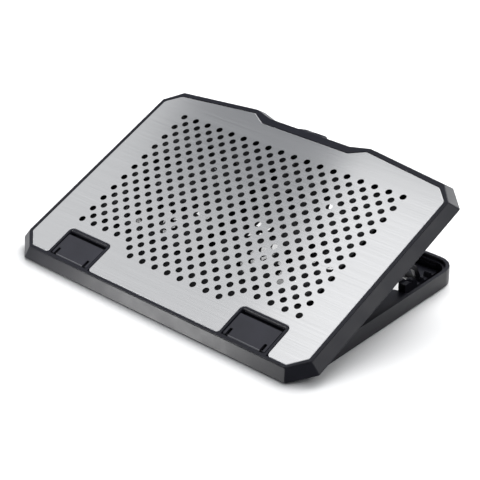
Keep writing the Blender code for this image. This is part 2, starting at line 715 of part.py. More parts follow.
def control_board():
    notch_left = OUTLET_X - OUTLET_WIDE / 2 - SEAM
    notch_right = OUTLET_X + OUTLET_WIDE / 2 + SEAM
    notch_front = SOCKET_REAR - OUTLET_DEEP - SEAM
    dial_front = DIAL_Y - 8
    outline = [
        (BOARD_LEFT, BOARD_FRONT),
        (BOARD_RIGHT, BOARD_FRONT),
        (BOARD_RIGHT, BOARD_REAR),
        (notch_right, BOARD_REAR),
        (notch_right, notch_front),
        (notch_left, notch_front),
        (notch_left, BOARD_REAR),
        (BOARD_LEFT + 4, BOARD_REAR),
        (BOARD_LEFT, dial_front),
    ]
    return slab("control_board", outline, BOARD_LOW, BOARD_HIGH, finish="circuit_board")


def socket(name, x, wide, low, high, deep, tongue):
    """A metal socket shell, open to the rear, with its contact tongue."""
    x0, x1 = x - wide / 2, x + wide / 2
    front = SOCKET_REAR - deep
    shell = slab(name, box_outline(x0, x1, front, SOCKET_REAR), low, high, finish="steel")
    hollow = box_outline(x0 + SOCKET_SKIN, x1 - SOCKET_SKIN, front + 2.0, SOCKET_REAR + CUT_OVER)
    cut(shell, slab("hollow", hollow, low + SOCKET_SKIN, high - SOCKET_SKIN))
    if tongue:
        middle = (low + high) / 2
        bar = box_outline(x0 + 1.2, x1 - 1.2, front + 1.0, SOCKET_REAR - 1.0)
        join(shell, slab("tongue", bar, middle - tongue / 2, middle + tongue / 2))
    return shell


def speed_dial():
    """A knurled thumbwheel; its origin is on its axis."""
    rim = []
    for k in range(DIAL_TEETH):
        step = 2 * math.pi / DIAL_TEETH
        for share, radius in ((0.0, DIAL_RADIUS), (0.5, DIAL_RADIUS - DIAL_TOOTH)):
            angle = step * (k + share)
            rim.append((radius * math.cos(angle), radius * math.sin(angle)))
    return slab("speed_dial", rim, DIAL_LOW, DIAL_HIGH, [circle(0, 0, DIAL_BORE, 12)], "grey_black_plastic")


def dial_mount():
    """The control's body on the board, with the pin that the dial turns on."""
    body = slab(
        "dial_mount",
        box_outline(DIAL_X - 5, DIAL_X + 5, DIAL_Y - 7, DIAL_Y - 0.3),
        BOARD_HIGH + 0.05,
        DIAL_LOW - 0.25,
        finish="black_plastic",
    )
    plate = post("plate", DIAL_X, DIAL_Y, 3.0, BOARD_HIGH + 0.06, DIAL_LOW - 0.26)
    return join(body, plate, post("pin", DIAL_X, DIAL_Y, DIAL_PIN, DIAL_LOW - 0.5, DIAL_HIGH + 0.15))


def fan_lead(name, side):
    """The lead from a fan's corner to the board, inside the deck."""
    route = [Vector(p) for p in ((side * 14, 184, LEAD_Z), (side * 14, 194, LEAD_Z), (side * 12, 203, -4.6), (side * 11, 213.5, -5.3))]
    curve = bpy.data.curves.new(name, "CURVE")
    curve.dimensions = "3D"
    curve.bevel_depth = LEAD_RADIUS * MM
    curve.bevel_resolution = 2
    curve.use_fill_caps = True
    steps = 16
    points = [spline_point(route, k / steps) for k in range(steps + 1)]
    line = curve.splines.new("POLY")
    line.points.add(len(points) - 1)
    for target, point in zip(line.points, points):
        target.co = (*(point * MM), 1)
    obj = bpy.data.objects.new(name, curve)
    bpy.context.scene.collection.objects.link(obj)
    curve.materials.append(material("lead_jacket"))
    return obj


def spline_point(route, share):
    """A point on a smooth curve through the route's points (Catmull-Rom)."""
    spans = len(route) - 1
    place = min(share * spans, spans - 1e-9)
    k, t = int(place), place - int(place)
    before, a, b = route[max(k - 1, 0)], route[k], route[k + 1]
    after = route[min(k + 2, spans)]
    return 0.5 * (
        2 * a + (b - before) * t + (2 * before - 5 * a + 4 * b - after) * t**2 + (3 * a - before - 3 * b + after) * t**3
    )


# ---------------------------------------------------------------- arms


def prop_arm(name):
    """A bent flat arm; its origin is on its pivot, and its axes are the deck's."""
    knee_y = ARM_FOOT_Y - ARM_SHIN * math.sin(math.radians(ARM_SHIN_LEAN))
    knee_z = ARM_FOOT_Z + ARM_SHIN * math.cos(math.radians(ARM_SHIN_LEAN))
    pivot = Vector((ARM_PIVOT_Y, ARM_PIVOT_Z))
    knee = Vector(to_deck(knee_y, knee_z)) - pivot
    foot = Vector(to_deck(ARM_FOOT_Y, ARM_FOOT_Z)) - pivot
    shin = (foot - knee).normalized()
    thigh = knee.normalized()
    bend = (thigh + shin).normalized()
    half = ARM_HALF_THICK
    side_of = lambda direction: Vector((-direction.y, direction.x))
    knee_shift = side_of(bend) * (half / bend.dot(thigh))
    shin_angle = math.degrees(math.atan2(shin.y, shin.x))
    thigh_angle = math.degrees(math.atan2(thigh.y, thigh.x))
    outline = [tuple(knee + knee_shift)]
    outline += arc(0, 0, ARM_EYE, thigh_angle + 42, thigh_angle + 318, 8)
    outline += [tuple(knee - knee_shift)]
    outline += arc(foot.x, foot.y, half, shin_angle - 90, shin_angle + 90, 6)
    arm = slab(name, outline, -ARM_HALF_WIDE, ARM_HALF_WIDE, finish="steel", place=across)
    return cut(arm, rod("eye", 0, 0, ARM_PIN_BORE, -ARM_HALF_WIDE - CUT_OVER, ARM_HALF_WIDE + CUT_OVER))


# ---------------------------------------------------------------- base


def base_outline(inset):
    rear = BASE_CORNER - inset
    corners = [(BASE_HALF - inset, BASE_FRONT + inset, 0.8), (BASE_HALF - inset, BASE_REAR - inset, rear)]
    return rounded(mirrored(corners), 5)


def opening_outline(grow):
    corners = [
        (OPENING_HALF, OPENING_FRONT, 8),
        (OPENING_HALF, OPENING_JOG, 5),
        (RACK_WALL_IN, RACK_FRONT + 0.4, 1.2),
        (RACK_WALL_IN, OPENING_REAR, 1.2),
    ]
    return rounded(grown(mirrored(corners), grow))


def rack_profile():
    """Side view of one rack: the front block, then a tooth behind each further notch."""
    points = [(RACK_FRONT, WEB_LOW), (RACK_FRONT, STOP_BLOCK_HIGH), (182.0, STOP_BLOCK_HIGH), (186.5, 12.6)]
    points += [(188.6, SHOULDER_HIGH), (191.8, SHOULDER_HIGH), (193.6, 12.9), (194.4, 10.6), (194.8, WEB_HIGH + 0.4)]
    for y in TOOTH_Y:
        points += [(y - 3.2, WEB_HIGH + 0.4), (y - 2.0, TOOTH_HIGH - 1.3), (y - 0.6, TOOTH_HIGH)]
        points += [(y + 1.0, TOOTH_HIGH - 0.4), (y + 2.6, WEB_HIGH + 0.4)]
    return points + [(RACK_WALL_REAR, WEB_HIGH + 0.4), (RACK_WALL_REAR, WEB_LOW)]


def rack_wall_profile():
    """Side view of the thin wall on the rack's inner side, with its wavy top."""
    points = [(RACK_FRONT, WEB_LOW), (RACK_FRONT, BASE_HIGH - 0.4), (181.6, BASE_HIGH - 0.4), (186.6, 12.8)]
    points += [(189.0, 13.4), (192.0, 13.0), (195.5, 9.0), (199.0, WEB_HIGH + 0.3)]
    return points + [(RACK_WALL_REAR, WEB_HIGH + 0.3), (RACK_WALL_REAR, WEB_LOW)]


def front_rounding():
    """Everything in front of and above the round nose about the tilt hinge."""
    nose = arc(HINGE_Y, HINGE_Z, KNUCKLE_RADIUS, 90, 180, 8)
    ahead = BASE_FRONT - 10
    points = nose + [(BASE_FRONT - 0.01, HINGE_Z - 1), (ahead, HINGE_Z - 1), (ahead, BASE_HIGH + 10), (HINGE_Y, BASE_HIGH + 10)]
    return slab("front_rounding", points, -BASE_HALF - 10, BASE_HALF + 10, place=across)


def rack_pocket(side, inset=0.0, ends=0.0):
    """Plan of the sunken floor beside one rack."""
    x0, x1 = sorted((side * (RACK_OUT - inset), side * (POCKET_OUT + inset)))
    return box_outline(x0, x1, RACK_FRONT + 1.5 - ends, POCKET_REAR + ends)


def base_frame():
    wall = slab("base_frame", base_outline(0), BASE_LOW, BASE_HIGH, [base_outline(WALL_THICK)], "grey_black_plastic")
    pockets = [rack_pocket(side) for side in SIDES.values()]
    half = REAR_WALL_HALF
    rear_wall = box_outline(-half, half, REAR_WALL_Y, REAR_WALL_Y + 2.0)
    front_bar = box_outline(-KNUCKLE_IN - 2, KNUCKLE_IN + 2, BASE_FRONT + 0.5, BASE_FRONT + 12)
    adds = [
        slab("step", base_outline(0.4), BASE_LOW + 0.1, STEP_HIGH, [base_outline(STEP_THICK)]),
        slab("web", base_outline(1.0), WEB_LOW, WEB_HIGH, [opening_outline(0)] + pockets),
        slab("lip", opening_outline(OPENING_LIP), BASE_LOW, WEB_HIGH - 0.1, [opening_outline(0.03)]),
        slab("rear_wall", rear_wall, WEB_LOW + 0.2, REAR_WALL_HIGH),
        slab("front_bar", front_bar, BASE_HIGH - 2.8, BASE_HIGH - 0.1),
    ]
    for side in SIDES.values():
        adds += rack_pieces(side)
        x0, x1 = sorted((side * KNUCKLE_IN, side * (BASE_HALF - 0.5)))
        block = box_outline(x0, x1, BASE_FRONT + 0.3, KNUCKLE_REAR)
        adds.append(slab("knuckle", block, BASE_LOW + 0.08, BASE_HIGH - 0.05))
    for x, y in foot_spots().values():
        adds.append(post("foot_boss", x, y, FOOT_BOSS, BASE_LOW + 0.03, WEB_LOW + 0.6, 14))
    join(wall, *adds)
    cutters = [front_rounding()]
    for side in SIDES.values():
        x0, x1 = sorted((side * (TILT_LUG_IN - KNUCKLE_GAP), side * (TILT_LUG_OUT + KNUCKLE_GAP)))
        slot = box_outline(x0, x1, BASE_FRONT - CUT_OVER, HINGE_Y + TILT_LUG_RADIUS + 2.6)
        cutters.append(slab("lug_slot", slot, BASE_LOW - CUT_OVER, BASE_HIGH + CUT_OVER))
        x0, x1 = sorted((side * (KNUCKLE_IN - CUT_OVER), side * TILT_BORE_OUT))
        cutters.append(rod("tilt_bore", HINGE_Y, HINGE_Z, TILT_PIN_BORE, x0, x1, 16))
    for x, y in foot_spots().values():
        cutters.append(post("foot_recess", x, y, FOOT_RADIUS + SEAM, BASE_LOW - CUT_OVER, FOOT_RECESS, 14))
    return cut(wall, *cutters)


def rack_pieces(side):
    """One rack, the thin wall on its inner side and the sunken floor on its outer side."""
    floor = slab("pocket_floor", rack_pocket(side, 2.0, 2.0), BASE_LOW + 0.05, POCKET_FLOOR)
    x0, x1 = sorted((side * (RACK_IN - 0.4), side * RACK_OUT))
    rack = slab("rack", rack_profile(), x0, x1, place=across)
    x0, x1 = sorted((side * RACK_WALL_IN, side * RACK_IN))
    return [floor, pocket_sides(side), rack, slab("rack_wall", rack_wall_profile(), x0, x1, place=across)]


def pocket_sides(side):
    """The walls that carry the sunken floor down from the web."""
    outer = rack_pocket(side, 1.6, 1.6)
    inner = rack_pocket(side, -0.02, -0.02)
    return slab("pocket_sides", outer, BASE_LOW + 0.12, WEB_HIGH - 0.2, [inner])


def foot_spots():
    return {
        f"{place}_{name}": (side * x, y) for place, (x, y) in FOOT_SPOTS.items() for name, side in SIDES.items()
    }


# ---------------------------------------------------------------- assembly


def add_deck_parts(deck):
    for part in (top_plate(), deck_frame(), bottom_cover(), control_board(), dial_mount()):
        hang_on(part, deck)
    outlet = socket("usb_outlet", OUTLET_X, OUTLET_WIDE, OUTLET_LOW, OUTLET_HIGH, OUTLET_DEEP, 1.8)
    inlet = socket("usb_inlet", INLET_X, INLET_WIDE, INLET_LOW, INLET_HIGH, INLET_DEEP, 0.8)
    hang_on(outlet, deck)
    hang_on(inlet, deck)
    hang_on(speed_dial(), deck, DIAL_X, DIAL_Y, 0)
    for number, (x, y) in enumerate(screw_spots(), 1):
        hang_on(screw(f"cover_screw_{number}", x, y, PANEL_BOTTOM - 0.05, SCREW_SINK + 2), deck)
    for name, side in SIDES.items():
        hang_on(fan_lead(f"fan_lead_{name}", side), deck)
        add_stop(deck, name, side)
        add_fan(deck, name, side)
        add_arm(deck, name, side)


def add_stop(deck, name, side):
    hang_on(stop_flap(f"stop_flap_{name}"), deck, side * STOP_X, FLAP_AXIS_Y, FLAP_AXIS_Z)
    pin = rod(f"stop_pin_{name}", 0, 0, STOP_PIN_RADIUS, -STOP_PIN_HALF, STOP_PIN_HALF, 10, "steel")
    hang_on(pin, deck, side * STOP_X, FLAP_AXIS_Y, FLAP_AXIS_Z)


def add_fan(deck, name, side):
    x = side * FAN_X
    hang_on(fan_frame(f"fan_frame_{name}", x), deck)
    for part in fan_motor(name, x):
        hang_on(part, deck)
    hang_on(impeller(f"impeller_{name}"), deck, x, FAN_Y, 0)
    shaft = post(f"fan_shaft_{name}", 0, 0, SHAFT_RADIUS, FAN_MOUNT_TOP + SEAM, SHAFT_TOP, 12, "steel")
    hang_on(shaft, deck, x, FAN_Y, 0)
    for number, (dx, dy) in enumerate(fan_screw_offsets(), 1):
        hang_on(screw(f"fan_screw_{name}_{number}", x + dx, FAN_Y + dy, BELLY_BOTTOM - 0.05, 8), deck)


def add_arm(deck, name, side):
    x = side * ARM_X
    hang_on(prop_arm(f"prop_arm_{name}"), deck, x, ARM_PIVOT_Y, ARM_PIVOT_Z)
    pin = rod(f"prop_pin_{name}", 0, 0, ARM_PIN_RADIUS, -ARM_PIN_HALF, ARM_PIN_HALF, 12, "steel")
    hang_on(pin, deck, x, ARM_PIVOT_Y, ARM_PIVOT_Z)


def add_base_parts(base):
    hang_on(base_frame(), base)
    for name, (x, y) in foot_spots().items():
        hang_on(post(f"foot_{name}", 0, 0, FOOT_RADIUS, 0, FOOT_HIGH, 14, "rubber"), base, x, y, 0)
    for name, side in SIDES.items():
        x0, x1 = sorted((side * TILT_PIN_IN, side * TILT_PIN_OUT))
        pin = rod(f"tilt_pin_{name}", 0, 0, TILT_PIN_RADIUS, x0, x1, 16, "steel")
        hang_on(pin, base, 0, HINGE_Y, HINGE_Z)


def exact_box(parts):
    """The lowest and highest Y of the meshes themselves."""
    ys = [(part.matrix_world @ v.co).y for part in parts if part.type == "MESH" for v in part.data.vertices]
    return min(ys), max(ys)


def main():
    clear_scene()
    base = bpy.data.objects.new("base_datum", None)
    hinge = bpy.data.objects.new("tilt_axis", None)
    deck = bpy.data.objects.new("deck_datum", None)
    for empty in (base, hinge, deck):
        bpy.context.scene.collection.objects.link(empty)
    hang_on(hinge, base, 0, HINGE_Y, HINGE_Z)
    hinge.rotation_euler.x = math.radians(TILT)
    hang_on(deck, hinge, 0, -HINGE_DECK_Y, -HINGE_DECK_Z)
    add_base_parts(base)
    add_deck_parts(deck)
    bpy.context.view_layer.update()
    parts = [obj for obj in bpy.data.objects if obj.type in ("MESH", "CURVE")]
    front, rear = exact_box(parts)
    base.location.y = -(front + rear) / 2
    bpy.context.view_layer.update()
    for part in parts:
        if part.type == "MESH":
            smooth(part)


main()
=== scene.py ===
"""Looks for the laptop cooling pad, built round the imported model.

Pieces of the tilting deck are modelled in the deck's own frame, in millimetres: X to the right,
Y to the rear from the metal plate's front edge, and Z up from the plate's face. DECK takes them to
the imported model's place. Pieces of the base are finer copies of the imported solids, in their place.
"""

import json
import math

import bmesh
import bpy
from mathutils import Matrix, Vector
from mathutils.geometry import delaunay_2d_cdt


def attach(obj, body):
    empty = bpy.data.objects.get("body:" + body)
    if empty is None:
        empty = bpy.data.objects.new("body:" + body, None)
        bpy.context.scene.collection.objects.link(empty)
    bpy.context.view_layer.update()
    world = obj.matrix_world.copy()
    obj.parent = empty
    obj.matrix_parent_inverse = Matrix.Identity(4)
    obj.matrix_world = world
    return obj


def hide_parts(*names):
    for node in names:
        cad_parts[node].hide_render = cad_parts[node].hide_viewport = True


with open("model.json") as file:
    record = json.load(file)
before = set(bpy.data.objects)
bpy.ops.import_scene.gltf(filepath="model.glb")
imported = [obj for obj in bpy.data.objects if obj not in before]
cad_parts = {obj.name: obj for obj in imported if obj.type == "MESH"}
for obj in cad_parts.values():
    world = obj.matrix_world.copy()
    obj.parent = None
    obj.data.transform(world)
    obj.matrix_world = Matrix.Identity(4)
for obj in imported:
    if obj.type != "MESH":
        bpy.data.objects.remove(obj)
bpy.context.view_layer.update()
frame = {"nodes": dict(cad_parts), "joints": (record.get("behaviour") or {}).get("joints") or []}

MM = 0.001
SIDES = {"left": -1, "right": 1}
CORNER_STEPS, LEAST_RADIUS = 7, 0.4
CUT_OVER = 2.0

TILT = 21.3
HINGE_DECK_Y, HINGE_DECK_Z = 34.25, -18.84
JOINTS = {joint["name"]: joint for joint in frame["joints"]}
HINGE = Vector(JOINTS["deck_tilt"]["pos_m"])
DECK = (
    Matrix.Translation(HINGE)
    @ Matrix.Rotation(math.radians(TILT), 4, "X")
    @ Matrix.Translation(-Vector((0, HINGE_DECK_Y, HINGE_DECK_Z)) * MM)
)

# Corners are (x, y, radius), from the front to the middle of the rear, on the right half.
# Plate
PLATE_CORNERS = (
    (162.9, 0, 1.5),
    (177.2, 14.3, 2.5),
    (177.2, 218.2, 6),
    (163.3, 231.3, 6),
    (71, 242.4, 3),
    (54.2, 233.2, 4),
)
PLATE_THICK, PLATE_CHAMFER = 1.2, 0.45
HOLE_PITCH_X, HOLE_PITCH_Y, HOLE_RADIUS, HOLE_SIDES = 16.38, 15.81, 3.4, 20
HOLE_COLUMNS, HOLE_ROWS, HOLE_TOP_Y, EXTRA_ROWS = 18, 21, 207.2, (9, 8)
HOLE_EASE, HOLE_BREAKOUT, HOLE_CLEAR = 0.1, 0.75, 1.5
GRAIN_UV_X, GRAIN_UV_Y = 0.4, 0.3

# Rim
RIM_CORNERS = (
    (164.5, -3.2, 1.5),
    (181, 13, 1.5),
    (181, 219.5, 1.8),
    (164.8, 234.9, 1.8),
    (72, 245.7, 2.5),
    (51, 239.9, 3),
)
RIM_FOLLOW = 0.2
LIP_REAR_EXTRA = 1.9
SEAM = 0.3
LIP_Z, LIP_EDGE_Z = 0.35, -0.35
FLARE, FLARE_Z, RIM_BOTTOM = 8.6, -9.4, -10.2
LEDGE_WIDTH, LEDGE_TOP, LEDGE_BOTTOM = 6.0, -1.5, -2.9
BOSS_RADIUS, BOSS_LOW = 3.5, -7.9
BOSS_BORE, BOSS_BORE_LOW, BOSS_BORE_HIGH = 1.7, -9.9, -3.9

# Stops
STOP_X, STOP_HALF, STOP_DEPTH, STOP_FRONT_Y = 112.5, 28.5, 35.5, -1.75
STOP_REAR_RADIUS, STOP_FRONT_RADIUS = 5.0, 4.0
STOP_FLOOR, STOP_POCKET_HALF, STOP_POCKET_REAR, STOP_POCKET_FLOOR = -6.6, 24.9, 31.3, -4.9
POCKET_FLARE_Z, POCKET_FLARE_SIDE, POCKET_FLARE_REAR = -1.6, 0.7, 1.6
STOP_PIN_BORE, STOP_PIN_INSET = 1.3, 0.9
FLAP_HALF, FLAP_AXIS_Y, FLAP_AXIS_Z, FLAP_BARREL = 24.3, 2.9, -2.5, 2.1
FLAP_LENGTH, FLAP_UNDER = 25.1, 0.5
FLAP_SLOT = (18.4, 21.8, 7.2)
FLAP_BORE, FLAP_SLOT_RADIUS = 1.2, 1.2

# Fans
FAN_X, FAN_Y, FAN_HALF, FAN_CORNER = 72.0, 128.0, 64.0, 9.0
FAN_BORE, FAN_BOTTOM, FAN_TOP = 61.0, -18.9, -4.2
FAN_MOUNT_RADIUS, FAN_MOUNT_TOP, FAN_STRUT_HALF = 17.0, -17.3, 2.5
HUB_RADIUS, HUB_WALL, HUB_TOP, HUB_BOTTOM, HUB_BORE = 18.5, 1.6, -5.0, -16.6, 1.85
LABEL_RADIUS, LABEL_DEEP, CAP_RADIUS = 13.0, 0.3, 3.2
BLADE_COUNT, BLADE_TIP, BLADE_THICK = 7, 59.4, 1.2
BLADE_TOP, BLADE_BOTTOM = -6.3, -15.5
BLADE_SWEEP_ROOT, BLADE_SWEEP_TIP, BLADE_LEAN = 34.0, 40.0, 14.0
BLADE_ROOTED, BLADE_CAMBER, BLADE_FLATTER, BLADE_EDGE = 0.8, 0.8, 0.25, 0.35
BLADE_STATIONS, BLADE_ACROSS = 10, 8

# Bottom cover
PANEL_TOP, PANEL_BOTTOM, PANEL_GROW = -8.2, -10.0, 3.0
BELLY_HALF, BELLY_FRONT, BELLY_REAR, BELLY_CORNER = 138.0, 61.5, 194.5, 10.0
BELLY_WALL, BELLY_BOTTOM, BELLY_FLOOR = 1.6, -21.2, -19.2
GRILLE_RINGS, GRILLE_INNER, GRILLE_STEP, GRILLE_SLOT = 4, 21.0, 10.0, 7.0
GRILLE_SPOKES, GRILLE_SPOKE_HALF, GRILLE_ARC_STEPS = 4, 2.2, 14
COVER_SCREWS = ((170.5, 18), (170.5, 212), (62, 235.5))
SCREW_HOLE, SCREW_GAP = 1.8, 0.05
FAN_SCREW_INSET = 7.0
SCREW_HEAD, SCREW_HEAD_TALL, SCREW_SHANK = 2.9, 0.5, 1.4
THREAD_TURNS, THREAD_START, THREAD_PITCH, THREAD_DEEP = 8, 0.3, 0.6, 0.25
RECESS_LONG, RECESS_WIDE, RECESS_DEEP = 3.2, 0.64, 0.35

# Ports and dial
PORT_HALF, PORT_PROUD, PORT_TAPER = 17.0, 3.0, 5.0
PORT_INTO_RIM, PORT_EASE, PORT_SHOULDER = 4.0, 0.5, 2.0
OUTLET_X, OUTLET_WIDE, OUTLET_LOW, OUTLET_HIGH = 7.0, 13.2, -8.0, -2.3
INLET_X, INLET_WIDE, INLET_LOW, INLET_HIGH = -9.0, 8.4, -6.4, -2.8
SOCKET_REAR, SOCKET_ROOM_FRONT, SOCKET_ROOM_REAR = 244.2, 17.5, 14.0
DIAL_X, DIAL_Y, DIAL_RADIUS, DIAL_LOW, DIAL_HIGH = -31.0, 234.0, 10.4, -5.9, -3.1
DIAL_TEETH, DIAL_TOOTH, DIAL_BORE, DIAL_ROOM = 36, 0.5, 1.8, 1.1
DIAL_DISH_RADIUS, DIAL_DISH_DEEP = 7.5, 0.35
BOARD_HIGH, SOLDER_GAP = -6.7, 0.03
# (x, y, width, depth, height above the board)
BOARD_PARTS = (
    (-18, 226, 6, 5, 1.3),
    (-4, 222, 4, 4, 1.0),
    (12, 220, 5, 3, 1.2),
    (-36, 219, 3, 3, 1.6),
    (-26, 218, 3, 2, 0.8),
)

# Arms
ARM_X, ARM_PIVOT_Y, ARM_PIVOT_Z = 159.0, 147.0, -12.0
ARM_LUG_GAP, ARM_LUG_THICK, ARM_LUG_LOW, ARM_EYE, ARM_PIN_BORE = 2.8, 3.4, -15.4, 3.4, 1.9
ARM_SLOT_HALF, ARM_SLOT_FRONT, ARM_SLOT_REAR = 3.3, 141.5, 224.0
TILT_LUG_RADIUS, TILT_PIN_BORE, TILT_LUG_IN, TILT_LUG_OUT = 7.0, 2.8, 160.6, 166.6
TILT_LUG_SPREAD, ARM_LUG_SPREAD, LUG_OVERLAP = 2.0, 1.5, 0.4

# Meshes: lengths in metres here, angles in degrees
FLAT_WITHIN, MERGE_WITHIN, FLAT_ANGLE, SMOOTH_ANGLE = 1e-7, 2e-6, 0.5, 50
FACE_WEIGHT = 80


# ---------------------------------------------------------------- outlines


def mirrored(half):
    return list(half) + [(-x, y, r) for x, y, r in reversed(half)]


def grown(corners, distance, follow=1.0):
    """The corners moved outwards, with the outer radii growing and the inner ones shrinking."""
    moved = []
    for i, (x, y, radius) in enumerate(corners):
        before, after = Vector(corners[i - 1][:2]), Vector(corners[(i + 1) % len(corners)][:2])
        here = Vector((x, y))
        into, out = (here - before).normalized(), (after - here).normalized()
        normal_in, normal_out = Vector((into.y, -into.x)), Vector((out.y, -out.x))
        shift = (normal_in + normal_out) * (distance / (1 + normal_in.dot(normal_out)))
        change = distance * follow * (1 if into.cross(out) > 0 else -1)
        moved.append((x + shift.x, y + shift.y, max(radius + change, LEAST_RADIUS)))
    return moved


def rounded(corners, steps=CORNER_STEPS):
    points = []
    for i, (x, y, radius) in enumerate(corners):
        here = Vector((x, y))
        into = (Vector(corners[i - 1][:2]) - here).normalized()
        out = (Vector(corners[(i + 1) % len(corners)][:2]) - here).normalized()
        half_angle = math.acos(max(-1, min(1, into.dot(out)))) / 2
        centre = here + (into + out).normalized() * (radius / math.sin(half_angle))
        start = here + into * (radius / math.tan(half_angle)) - centre
        turn = math.pi - 2 * half_angle
        sense = 1 if into.cross(out) < 0 else -1
        for k in range(steps + 1):
            points.append(tuple(centre + Matrix.Rotation(sense * turn * k / steps, 2) @ start))
    return points


def box_outline(x0, x1, y0, y1, radius=0.0):
    corners = [(x0, y0, radius), (x1, y0, radius), (x1, y1, radius), (x0, y1, radius)]
    return rounded(corners) if radius else [corner[:2] for corner in corners]


def circle(x, y, radius, sides):
    angles = [2 * math.pi / sides * k for k in range(sides)]
    return [(x + radius * math.cos(a), y + radius * math.sin(a)) for a in angles]


def arc(x, y, radius, first, last, steps):
    angles = [math.radians(first + (last - first) * k / steps) for k in range(steps + 1)]
    return [(x + radius * math.cos(a), y + radius * math.sin(a)) for a in angles]


# ---------------------------------------------------------------- solids


def twisted(face):
    """True for a face whose corners don't lie in one plane."""
    middle = face.calc_center_median()
    return any(abs((vert.co - middle).dot(face.normal)) > FLAT_WITHIN for vert in face.verts)


def new_object(name, vertices, faces):
    mesh = bpy.data.meshes.new(name)
    build = bmesh.new()
    made = [build.verts.new(Vector(v) * MM) for v in vertices]
    for face in faces:
        build.faces.new([made[i] for i in face])
    bmesh.ops.recalc_face_normals(build, faces=build.faces)
    bmesh.ops.triangulate(build, faces=[face for face in build.faces if twisted(face)])
    build.to_mesh(mesh)
    build.free()
    obj = bpy.data.objects.new(name, mesh)
    bpy.context.scene.collection.objects.link(obj)
    return obj


def upright(point, level):
    return (point[0], point[1], level)


def across(point, level):
    return (level, point[0], point[1])


def signed_area(loop):
    return sum(x0 * y1 - x1 * y0 for (x0, y0), (x1, y1) in zip(loop, loop[1:] + loop[:1])) / 2


def triangles_between(loops):
    """Triangles that fill the first loop and leave the others open."""
    flat, faces = [], []
    for loop in loops:
        order = list(range(len(flat), len(flat) + len(loop)))
        faces.append(order if signed_area(loop) > 0 else order[::-1])
        flat += [Vector(point) for point in loop]
    _, _, triangles, points_from, _, faces_from = delaunay_2d_cdt(flat, [], faces, 1, 1e-6)
    filled = [tri for tri, inside in zip(triangles, faces_from) if list(inside) == [0]]
    return [tuple(points_from[i][0] for i in tri) for tri in filled]


def layered(name, layers, place=upright):
    """A solid through matching sets of loops, each at its level; the first and last are capped."""
    count = sum(len(loop) for loop in layers[0][1])
    vertices, faces = [], []
    for level, loops in layers:
        vertices += [place(point, level) for loop in loops for point in loop]
    faces += triangles_between(layers[0][1])
    faces += [tuple(i + count * (len(layers) - 1) for i in tri) for tri in triangles_between(layers[-1][1])]
    for layer in range(len(layers) - 1):
        start = layer * count
        for loop in layers[0][1]:
            size = len(loop)
            for k in range(size):
                a, b = start + k, start + (k + 1) % size
                faces.append((a, b, b + count, a + count))
            start += size
    return new_object(name, vertices, faces)


def slab(name, outline, low, high, holes=(), place=upright):
    loops = [list(outline)] + [list(hole) for hole in holes]
    return layered(name, [(low, loops), (high, loops)], place)


def tube_of_loops(name, loops):
    """A ring: each loop is joined to the next, and the last to the first."""
    size = len(loops[0])
    faces = []
    for i in range(len(loops)):
        low, high = i * size, (i + 1) % len(loops) * size
        for k in range(size):
            after = (k + 1) % size
            faces.append((low + k, low + after, high + after, high + k))
    return new_object(name, [point for loop in loops for point in loop], faces)


def stack_of_loops(name, loops):
    """A closed solid through the loops, capped at the first and the last."""
    size = len(loops[0])
    faces = [tuple(range(size)), tuple(range((len(loops) - 1) * size, len(loops) * size))]
    for i in range(len(loops) - 1):
        for k in range(size):
            after = (k + 1) % size
            faces.append((i * size + k, i * size + after, (i + 1) * size + after, (i + 1) * size + k))
    return new_object(name, [point for loop in loops for point in loop], faces)


def turned(name, profile, sides):
    """A ring turned about Z, from a profile of (radius, height)."""
    loops = []
    for k in range(sides):
        angle = 2 * math.pi * k / sides
        loops.append([(r * math.cos(angle), r * math.sin(angle), z) for r, z in profile])
    return tube_of_loops(name, loops)


def rod(name, y, z, radius, x0, x1):
    return slab(name, circle(y, z, radius, 24), x0, x1, place=across)


def post(name, x, y, radius, low, high, sides=24):
    return slab(name, circle(x, y, radius, sides), low, high)


def combine(body, others, operation):
    group = bpy.data.collections.new("operands")
    for other in others:
        group.objects.link(other)
    step = body.modifiers.new(operation.lower(), "BOOLEAN")
    step.operation = operation
    step.solver = "EXACT"
    step.operand_type = "COLLECTION"
    step.collection = group
    applied(body)
    for other in list(others):
        bpy.data.objects.remove(other, do_unlink=True)
    bpy.data.collections.remove(group)
    return body


def join(body, *others):
    return combine(body, others, "UNION")


def cut(body, *others):
    return combine(body, others, "DIFFERENCE")


def applied(obj):
    """The object with its modifiers applied to its mesh."""
    bpy.context.view_layer.update()
    result = bpy.data.meshes.new_from_object(obj.evaluated_get(bpy.context.evaluated_depsgraph_get()))
    obj.modifiers.clear()
    obj.data = result
    return obj


def eased(obj, width, segments=2, angle=32):
    """Rounds the sharp edges, then shades so that the large faces stay flat."""
    build = bmesh.new()
    build.from_mesh(obj.data)
    bmesh.ops.remove_doubles(build, verts=build.verts, dist=MERGE_WITHIN)
    flat = math.radians(FLAT_ANGLE)
    bmesh.ops.dissolve_limit(build, angle_limit=flat, verts=build.verts, edges=build.edges)
    build.to_mesh(obj.data)
    build.free()
    bevel = obj.modifiers.new("ease", "BEVEL")
    bevel.width = width * MM
    bevel.segments = segments
    bevel.limit_method = "ANGLE"
    bevel.angle_limit = math.radians(angle)
    bevel.use_clamp_overlap = True
    return weighted(shaded(applied(obj), SMOOTH_ANGLE))


def weighted(obj):
    """Turns the shading of rounded edges towards the large faces beside them."""
    flat = obj.modifiers.new("weigh", "WEIGHTED_NORMAL")
    flat.keep_sharp = True
    flat.weight = FACE_WEIGHT
    return applied(obj)


def shaded(obj, angle):
    """Smooth shading, except along edges sharper than the angle."""
    obj.data.shade_smooth()
    obj.data.set_sharp_from_angle(angle=math.radians(angle))
    return obj


